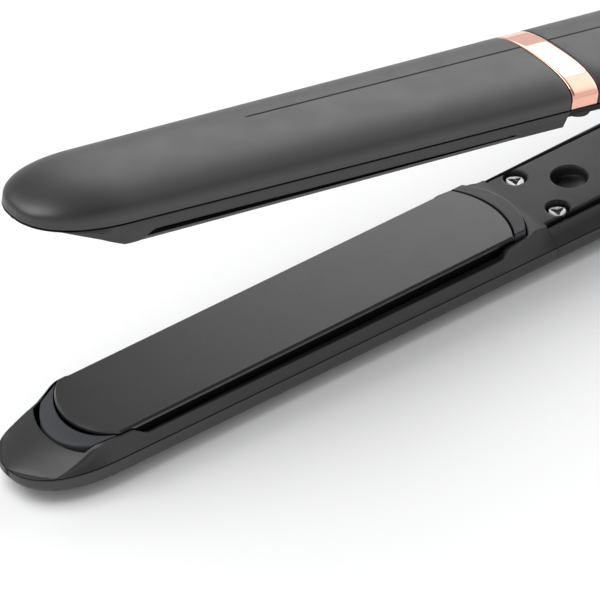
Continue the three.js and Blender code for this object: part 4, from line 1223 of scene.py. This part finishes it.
def boss_solid():
    """The round boss that the cord swivel turns in: a turned ring with a fillet at its foot."""
    start = KNUCKLE_SWEEP + 0.1
    foot = BOSS_RADIUS + BOSS_FILLET
    profile = [
        (CHAMBER_RADIUS, start), (foot, start),
        *arc((foot, FILLET_END), BOSS_FILLET, -90, -180),
        *arc((BOSS_RADIUS - BOSS_LIP, BOSS_END - BOSS_LIP), BOSS_LIP, 0, 90),
        (STEM_BORE + 0.3, BOSS_END), (STEM_BORE, BOSS_END - 0.3), (STEM_BORE, CHAMBER_END),
        (CHAMBER_RADIUS, CHAMBER_END), (CHAMBER_RADIUS, start),
    ]
    return turned(profile, "x", 96)


def neck_solid():
    """The yoke's neck, which is screwed into the lower handle: a rounded bar along the arm."""
    across, upright = oblong(48, 0.3)
    x = np.array([YOKE_LOW[0], YOKE_LOW[0] + 0.3, NECK_END])[:, None]
    grow = np.array([0.96, 1, 1])[:, None]
    middle, half = (NECK_LOW + NECK_HIGH) / 2, (NECK_HIGH - NECK_LOW) / 2
    rings = np.broadcast_arrays(x, NECK_HALF * across * grow, middle + half * upright * grow)
    return ringed(np.stack(rings, axis=-1))


def pin_cap_profile():
    """A pin cap: rounded rim, a fine groove and a slightly domed middle."""
    low, high = hinge_box("hinge_cap_left")
    r, start, end = PIN_CAP_RADIUS, low[1], high[1]
    dome = [(4.4 * math.sqrt(1 - t), end - 0.1 + 0.08 * t) for t in np.linspace(0, 1, 10)]
    return [
        (0, start), (r - 0.1, start), (r, start + 0.1),
        *arc((r - PIN_CAP_EDGE, end - PIN_CAP_EDGE), PIN_CAP_EDGE, 0, 90, 8),
        (5.1, end), (4.95, end - 0.12), (4.7, end - 0.15), (4.5, end - 0.1), *dome,
    ]


def spring_path():
    """A coil of three and a half turns about the pin, with a straight leg along each arm."""
    place = SPRING_TURNS * SPRING_PITCH / 2
    angle = np.linspace(0, 2 * np.pi * (SPRING_TURNS + 0.5), SPRING_STEPS) - np.pi / 2
    rise = np.linspace(-place, place, SPRING_STEPS)
    coil = [SPRING_RADIUS * np.cos(angle), rise, SPRING_RADIUS * np.sin(angle)]
    reach = np.linspace(SPRING_LEG, 0.6, 12)
    side = np.full_like(reach, place)
    first = [-reach, -side, np.full_like(reach, -SPRING_RADIUS)]
    last = [-reach * math.cos(OPENING), side, SPRING_RADIUS + reach * math.sin(OPENING)]
    parts = [np.stack(part, axis=-1) for part in (first, coil, last)]
    return np.vstack([parts[0], parts[1], parts[2][::-1]])


def swivel_profile():
    """The cord exit: a flange inside the boss, a stem, and a ribbed, tapering collar outside."""
    low, high = hinge_box("cord_swivel")
    start, end = low[0], high[0]
    collar = end - 2.6
    return [
        (0, start), (6.3, start), (6.3, start + 2.1), (4.3, start + 2.1), (4.3, collar),
        (5.8, collar), (6.0, collar + 0.2), (6.0, collar + 0.55), (5.6, collar + 0.75),
        (5.6, collar + 1.05), (5.9, collar + 1.25), (5.8, collar + 1.6), (5.3, collar + 1.85),
        *arc((4.8, end - 0.4), 0.4, 0, 90),
        (2.9, end), (2.6, end - 0.3), (2.6, end - 5), (0, end - 5),
    ]


class BuildHinge(bpy.types.Operator):
    """Build the hinge's yoke, pin, caps, washers and spring, and the swivelling cord exit"""

    bl_idname = "straightener.hinge"
    bl_label = "Hinge and cord exit"

    def execute(self, context):
        def build(name, solids, finish, node, body="lower_arm", slot=None):
            make_piece(name, solids, about_pin, body, finish, node)

        yoke = [cheek_solid(1), cheek_solid(-1), bridge_solid(), boss_solid(), neck_solid()]
        build("hinge_yoke_body", yoke, "casing", "hinge_yoke")
        end, slim = PIN_HALF_LENGTH, PIN_RADIUS - PIN_EDGE
        bar = [(0, -end), (slim, -end), (PIN_RADIUS, PIN_EDGE - end)]
        bar += [(PIN_RADIUS, end - PIN_EDGE), (slim, end), (0, end)]
        build("hinge_pin_bar", [turned(bar, "y", 48)], "steel", "hinge_pin")
        for side, name in ((1, "left"), (-1, "right")):
            cap = [(radius, side * along) for radius, along in pin_cap_profile()]
            build(f"pin_cap_{name}", [turned(cap, "y", 96)], "trim", f"hinge_cap_{name}")
            start, end = (corner[1] for corner in hinge_box(f"hinge_washer_{name}"))
            flat = WASHER_RADIUS - WASHER_EDGE
            ring = [(BORE_RADIUS, start), (flat, start), (WASHER_RADIUS, start + WASHER_EDGE)]
            ring += [(WASHER_RADIUS, end - WASHER_EDGE), (flat, end), (BORE_RADIUS, end)]
            ring += ring[:1]
            build(f"washer_{name}", [turned(ring, "y", 64)], "carrier", f"hinge_washer_{name}")
        spring = swept(spring_path(), WIRE_RADIUS, 14)
        build("hinge_spring", [spring], "steel", "hinge_torsion_spring")
        swivel = turned(swivel_profile(), "x", 96)
        build(
            "cord_exit_swivel", [swivel], "button", "cord_swivel", "cord_swivel", "casing_plastic"
        )
        return {"FINISHED"}


# What is inside.

# Nodes that keep their own shape, with their finishes. The switches are moulded like the casings.
CARRIED = {
    "hinge_knuckle": "casing",
    "control_board": "board",
    "board_screw_front": "steel",
    "board_screw_rear": "steel",
    **{f"{name}_tact_switch": "button" for name in BUTTONS},
}
CARRIED_IN_ARM = {
    "plate_carrier": "carrier",
    "ceramic_heater": "ceramic",
    "heater_clamp": "steel",
    "thermal_fuse": "steel",
    "heater_lead": "sleeve",
}


class BuildInside(bpy.types.Operator):
    """Give the carried nodes their finishes and build the cushions under the plates"""

    bl_idname = "straightener.inside"
    bl_label = "Inner parts"

    def execute(self, context):
        carried = dict(CARRIED)
        for arm, _ in ARMS:
            carried.update({f"{arm}_{name}": value for name, value in CARRIED_IN_ARM.items()})
        for name, finish in carried.items():
            node = frame["nodes"][name]
            node.data.materials.clear()
            node.data.materials.append(FINISH[finish])
        for end in ("front", "rear"):
            self.build_cushion(end, *arm_box(f"lower_{end}_cushion"))
        return {"FINISHED"}

    def build_cushion(self, end, low, high):
        """A silicone cushion: a rounded block whose sides swell between its flat faces."""
        x, y = oblong(64, 0.35)
        level = np.linspace(0, 1, 13)[:, None]
        swell = 0.93 + 0.07 * np.sin(np.pi * level)
        middle, half = (low + high) / 2, (high - low) / 2
        rings = np.stack(np.broadcast_arrays(
            middle[0] + half[0] * swell * x, middle[1] + half[1] * swell * y,
            low[2] + (high[2] - low[2]) * level,
        ), axis=-1)
        foot = np.array([middle[0], middle[1], high[2]])
        for arm, place in ARMS:
            pad = make_piece(
                f"{arm}_{end}_silicone_pad", [ringed(rings)], place, f"{arm}_arm", "silicone",
                f"{arm}_{end}_cushion",
            )
            anchor = place(foot)
            axis = (place(foot - [0, 0, 1]) - anchor) / MM
            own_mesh(pad)


# Stage.

AIM = Vector((-0.06443, 0.0, 0.01423))
VIEW_AZIMUTH, VIEW_ELEVATION, VIEW_ROLL = -36.27, 37.54, -2.0
VIEW_DISTANCE = 1.05516
LENS = 271.96
SENSOR = 36.0
SHIFT = (0.0026, 0.0021)
CLIP = (0.05, 20)
FLOOR_HALF, FLOOR_DROP, FLOOR_LINES = 3.0, 2e-4, 9
FLOOR_WHITE = (0.97, 0.97, 0.97)
# Strength of the world below and overhead, and of its left and right sides.
WALL_GLOW, ROOF_GLOW, LEFT_GLOW, RIGHT_GLOW = 0.85, 0.17, 0.55, 1.6
LIGHTS = (
    ("far_softbox", (0.66, 0.6, 0.5), (-0.04, 0, 0.02), (0.62, 0.42), 1.7, (1, 0.99, 0.98)),
    ("overhead_left", (-0.5, 0.25, 1.1), (-0.05, 0, 0), (1.0, 1.0), 10.0, (1, 1, 1)),
)


def facing(direction):
    """The turn that points a light or a camera along a direction, with its top upwards."""
    return direction.to_track_quat("-Z", "Y").to_matrix().to_4x4()


class BuildStage(bpy.types.Operator):
    """Lay the pale floor and set the lights and the camera"""

    bl_idname = "straightener.stage"
    bl_label = "Stage"

    def execute(self, context):
        self.lay_floor()
        self.set_lights()
        self.set_camera()
        return {"FINISHED"}

    def lay_floor(self):
        """A flat square of paper, a fine grid whose far edge is out of sight."""
        side = np.linspace(-FLOOR_HALF, FLOOR_HALF, FLOOR_LINES)
        x, y = np.meshgrid(side, side, indexing="ij")
        points = np.stack([x, y, np.full_like(x, -FLOOR_DROP)], axis=-1)
        index = np.arange(x.size).reshape(x.shape)
        mesh = bpy.data.meshes.new("paper_floor")
        mesh.from_pydata(points.reshape(-1, 3), [], quads(index).tolist())
        mesh.materials.append(paper("white_paper", FLOOR_WHITE))
        floor = bpy.data.objects.new("paper_floor", mesh)
        bpy.context.scene.collection.objects.link(floor)

    def set_lights(self):
        """An even world below, a dim roof with a bright side to the right, and two area lights."""
        world = bpy.data.worlds.new("studio")
        bpy.context.scene.world = world
        world.use_nodes = True
        bpy.context.scene.view_settings.view_transform = "Standard"
        nodes, links = world.node_tree.nodes, world.node_tree.links
        shade = nodes["Background"]
        shade.inputs["Color"].default_value = (0.98, 0.985, 1.0, 1)
        direction = nodes.new("ShaderNodeTexCoord")
        parts = nodes.new("ShaderNodeSeparateXYZ")
        links.new(direction.outputs["Generated"], parts.inputs["Vector"])

        def graded(axis, start, end, low, high):
            """A value that runs smoothly from low to high along an axis of the direction."""
            level = nodes.new("ShaderNodeMapRange")
            level.interpolation_type = "SMOOTHSTEP"
            bounds = {"From Min": start, "From Max": end, "To Min": low, "To Max": high}
            for key, value in bounds.items():
                level.inputs[key].default_value = value
            links.new(parts.outputs[axis], level.inputs["Value"])
            return level

        roof = graded("X", 0.0, 0.3, LEFT_GLOW, ROOF_GLOW)
        right = graded("X", 0.62, 0.8, 0.0, RIGHT_GLOW)
        top = nodes.new("ShaderNodeMath")
        top.operation = "ADD"
        links.new(roof.outputs["Result"], top.inputs[0])
        links.new(right.outputs["Result"], top.inputs[1])
        level = graded("Z", 0.2, 0.5, WALL_GLOW, 1.0)
        links.new(top.outputs[0], level.inputs["To Max"])
        links.new(level.outputs["Result"], shade.inputs["Strength"])
        for name, place, aim, size, power, tint in LIGHTS:
            lamp = bpy.data.lights.new(name, "AREA")
            lamp.shape = "RECTANGLE"
            lamp.size, lamp.size_y = size
            lamp.energy = power
            lamp.color = tint
            holder = bpy.data.objects.new(name, lamp)
            bpy.context.scene.collection.objects.link(holder)
            holder.matrix_world = Matrix.Translation(place) @ facing(Vector(aim) - Vector(place))

    def set_camera(self):
        """The camera looks at AIM from the view's azimuth and elevation, turned by the roll."""
        azimuth, elevation = math.radians(VIEW_AZIMUTH), math.radians(VIEW_ELEVATION)
        flat = math.cos(elevation)
        back = Vector((math.sin(azimuth) * flat, -math.cos(azimuth) * flat, math.sin(elevation)))
        lens = bpy.data.cameras.new("camera")
        lens.lens, lens.sensor_width = LENS, SENSOR
        lens.shift_x, lens.shift_y = SHIFT
        lens.clip_start, lens.clip_end = CLIP
        camera = bpy.data.objects.new("camera", lens)
        bpy.context.scene.collection.objects.link(camera)
        roll = Matrix.Rotation(math.radians(VIEW_ROLL), 4, "Z")
        place = Matrix.Translation(AIM + back * VIEW_DISTANCE)
        camera.matrix_world = place @ facing(-back) @ roll
        bpy.context.scene.camera = camera


# Panel and registration.

STEPS = (
    BuildStage, BuildShells, BuildBand, BuildCasings, BuildPlates, BuildScrews, BuildControls,
    BuildLock, BuildHinge, BuildInside,
)


class StraightenerPanel(bpy.types.Panel):
    """Lists the pieces, sizes and finishes of the straightener"""

    bl_idname = "VIEW3D_PT_straightener"
    bl_label = "Hair Straightener"
    bl_space_type = "VIEW_3D"
    bl_region_type = "UI"
    bl_category = "Straightener"

    def draw(self, context):
        for step in STEPS:
            self.layout.operator(step.bl_idname)
        scene = context.scene
        for group in (scene.straightener_sizes, scene.straightener_finishes):
            box = self.layout.box()
            for key in group.bl_rna.properties.keys():
                if key not in ("rna_type", "name"):
                    box.prop(group, key)


CLASSES = (StraightenerSizes, StraightenerFinishes, *STEPS, StraightenerPanel)


def register():
    """Register the classes and hang the settings on the scene."""
    for item in CLASSES:
        bpy.utils.register_class(item)
    bpy.types.Scene.straightener_sizes = bpy.props.PointerProperty(type=StraightenerSizes)
    bpy.types.Scene.straightener_finishes = bpy.props.PointerProperty(type=StraightenerFinishes)


def unregister():
    """Undo what register does."""
    del bpy.types.Scene.straightener_finishes
    del bpy.types.Scene.straightener_sizes
    for item in reversed(CLASSES):
        bpy.utils.unregister_class(item)


def main():
    """Build every piece and the stage in order."""
    register()
    FINISH.update(make_finishes())
    for step in STEPS:
        group, name = step.bl_idname.split(".")
        getattr(getattr(bpy.ops, group), name)()


if __name__ == "__main__":
    main()
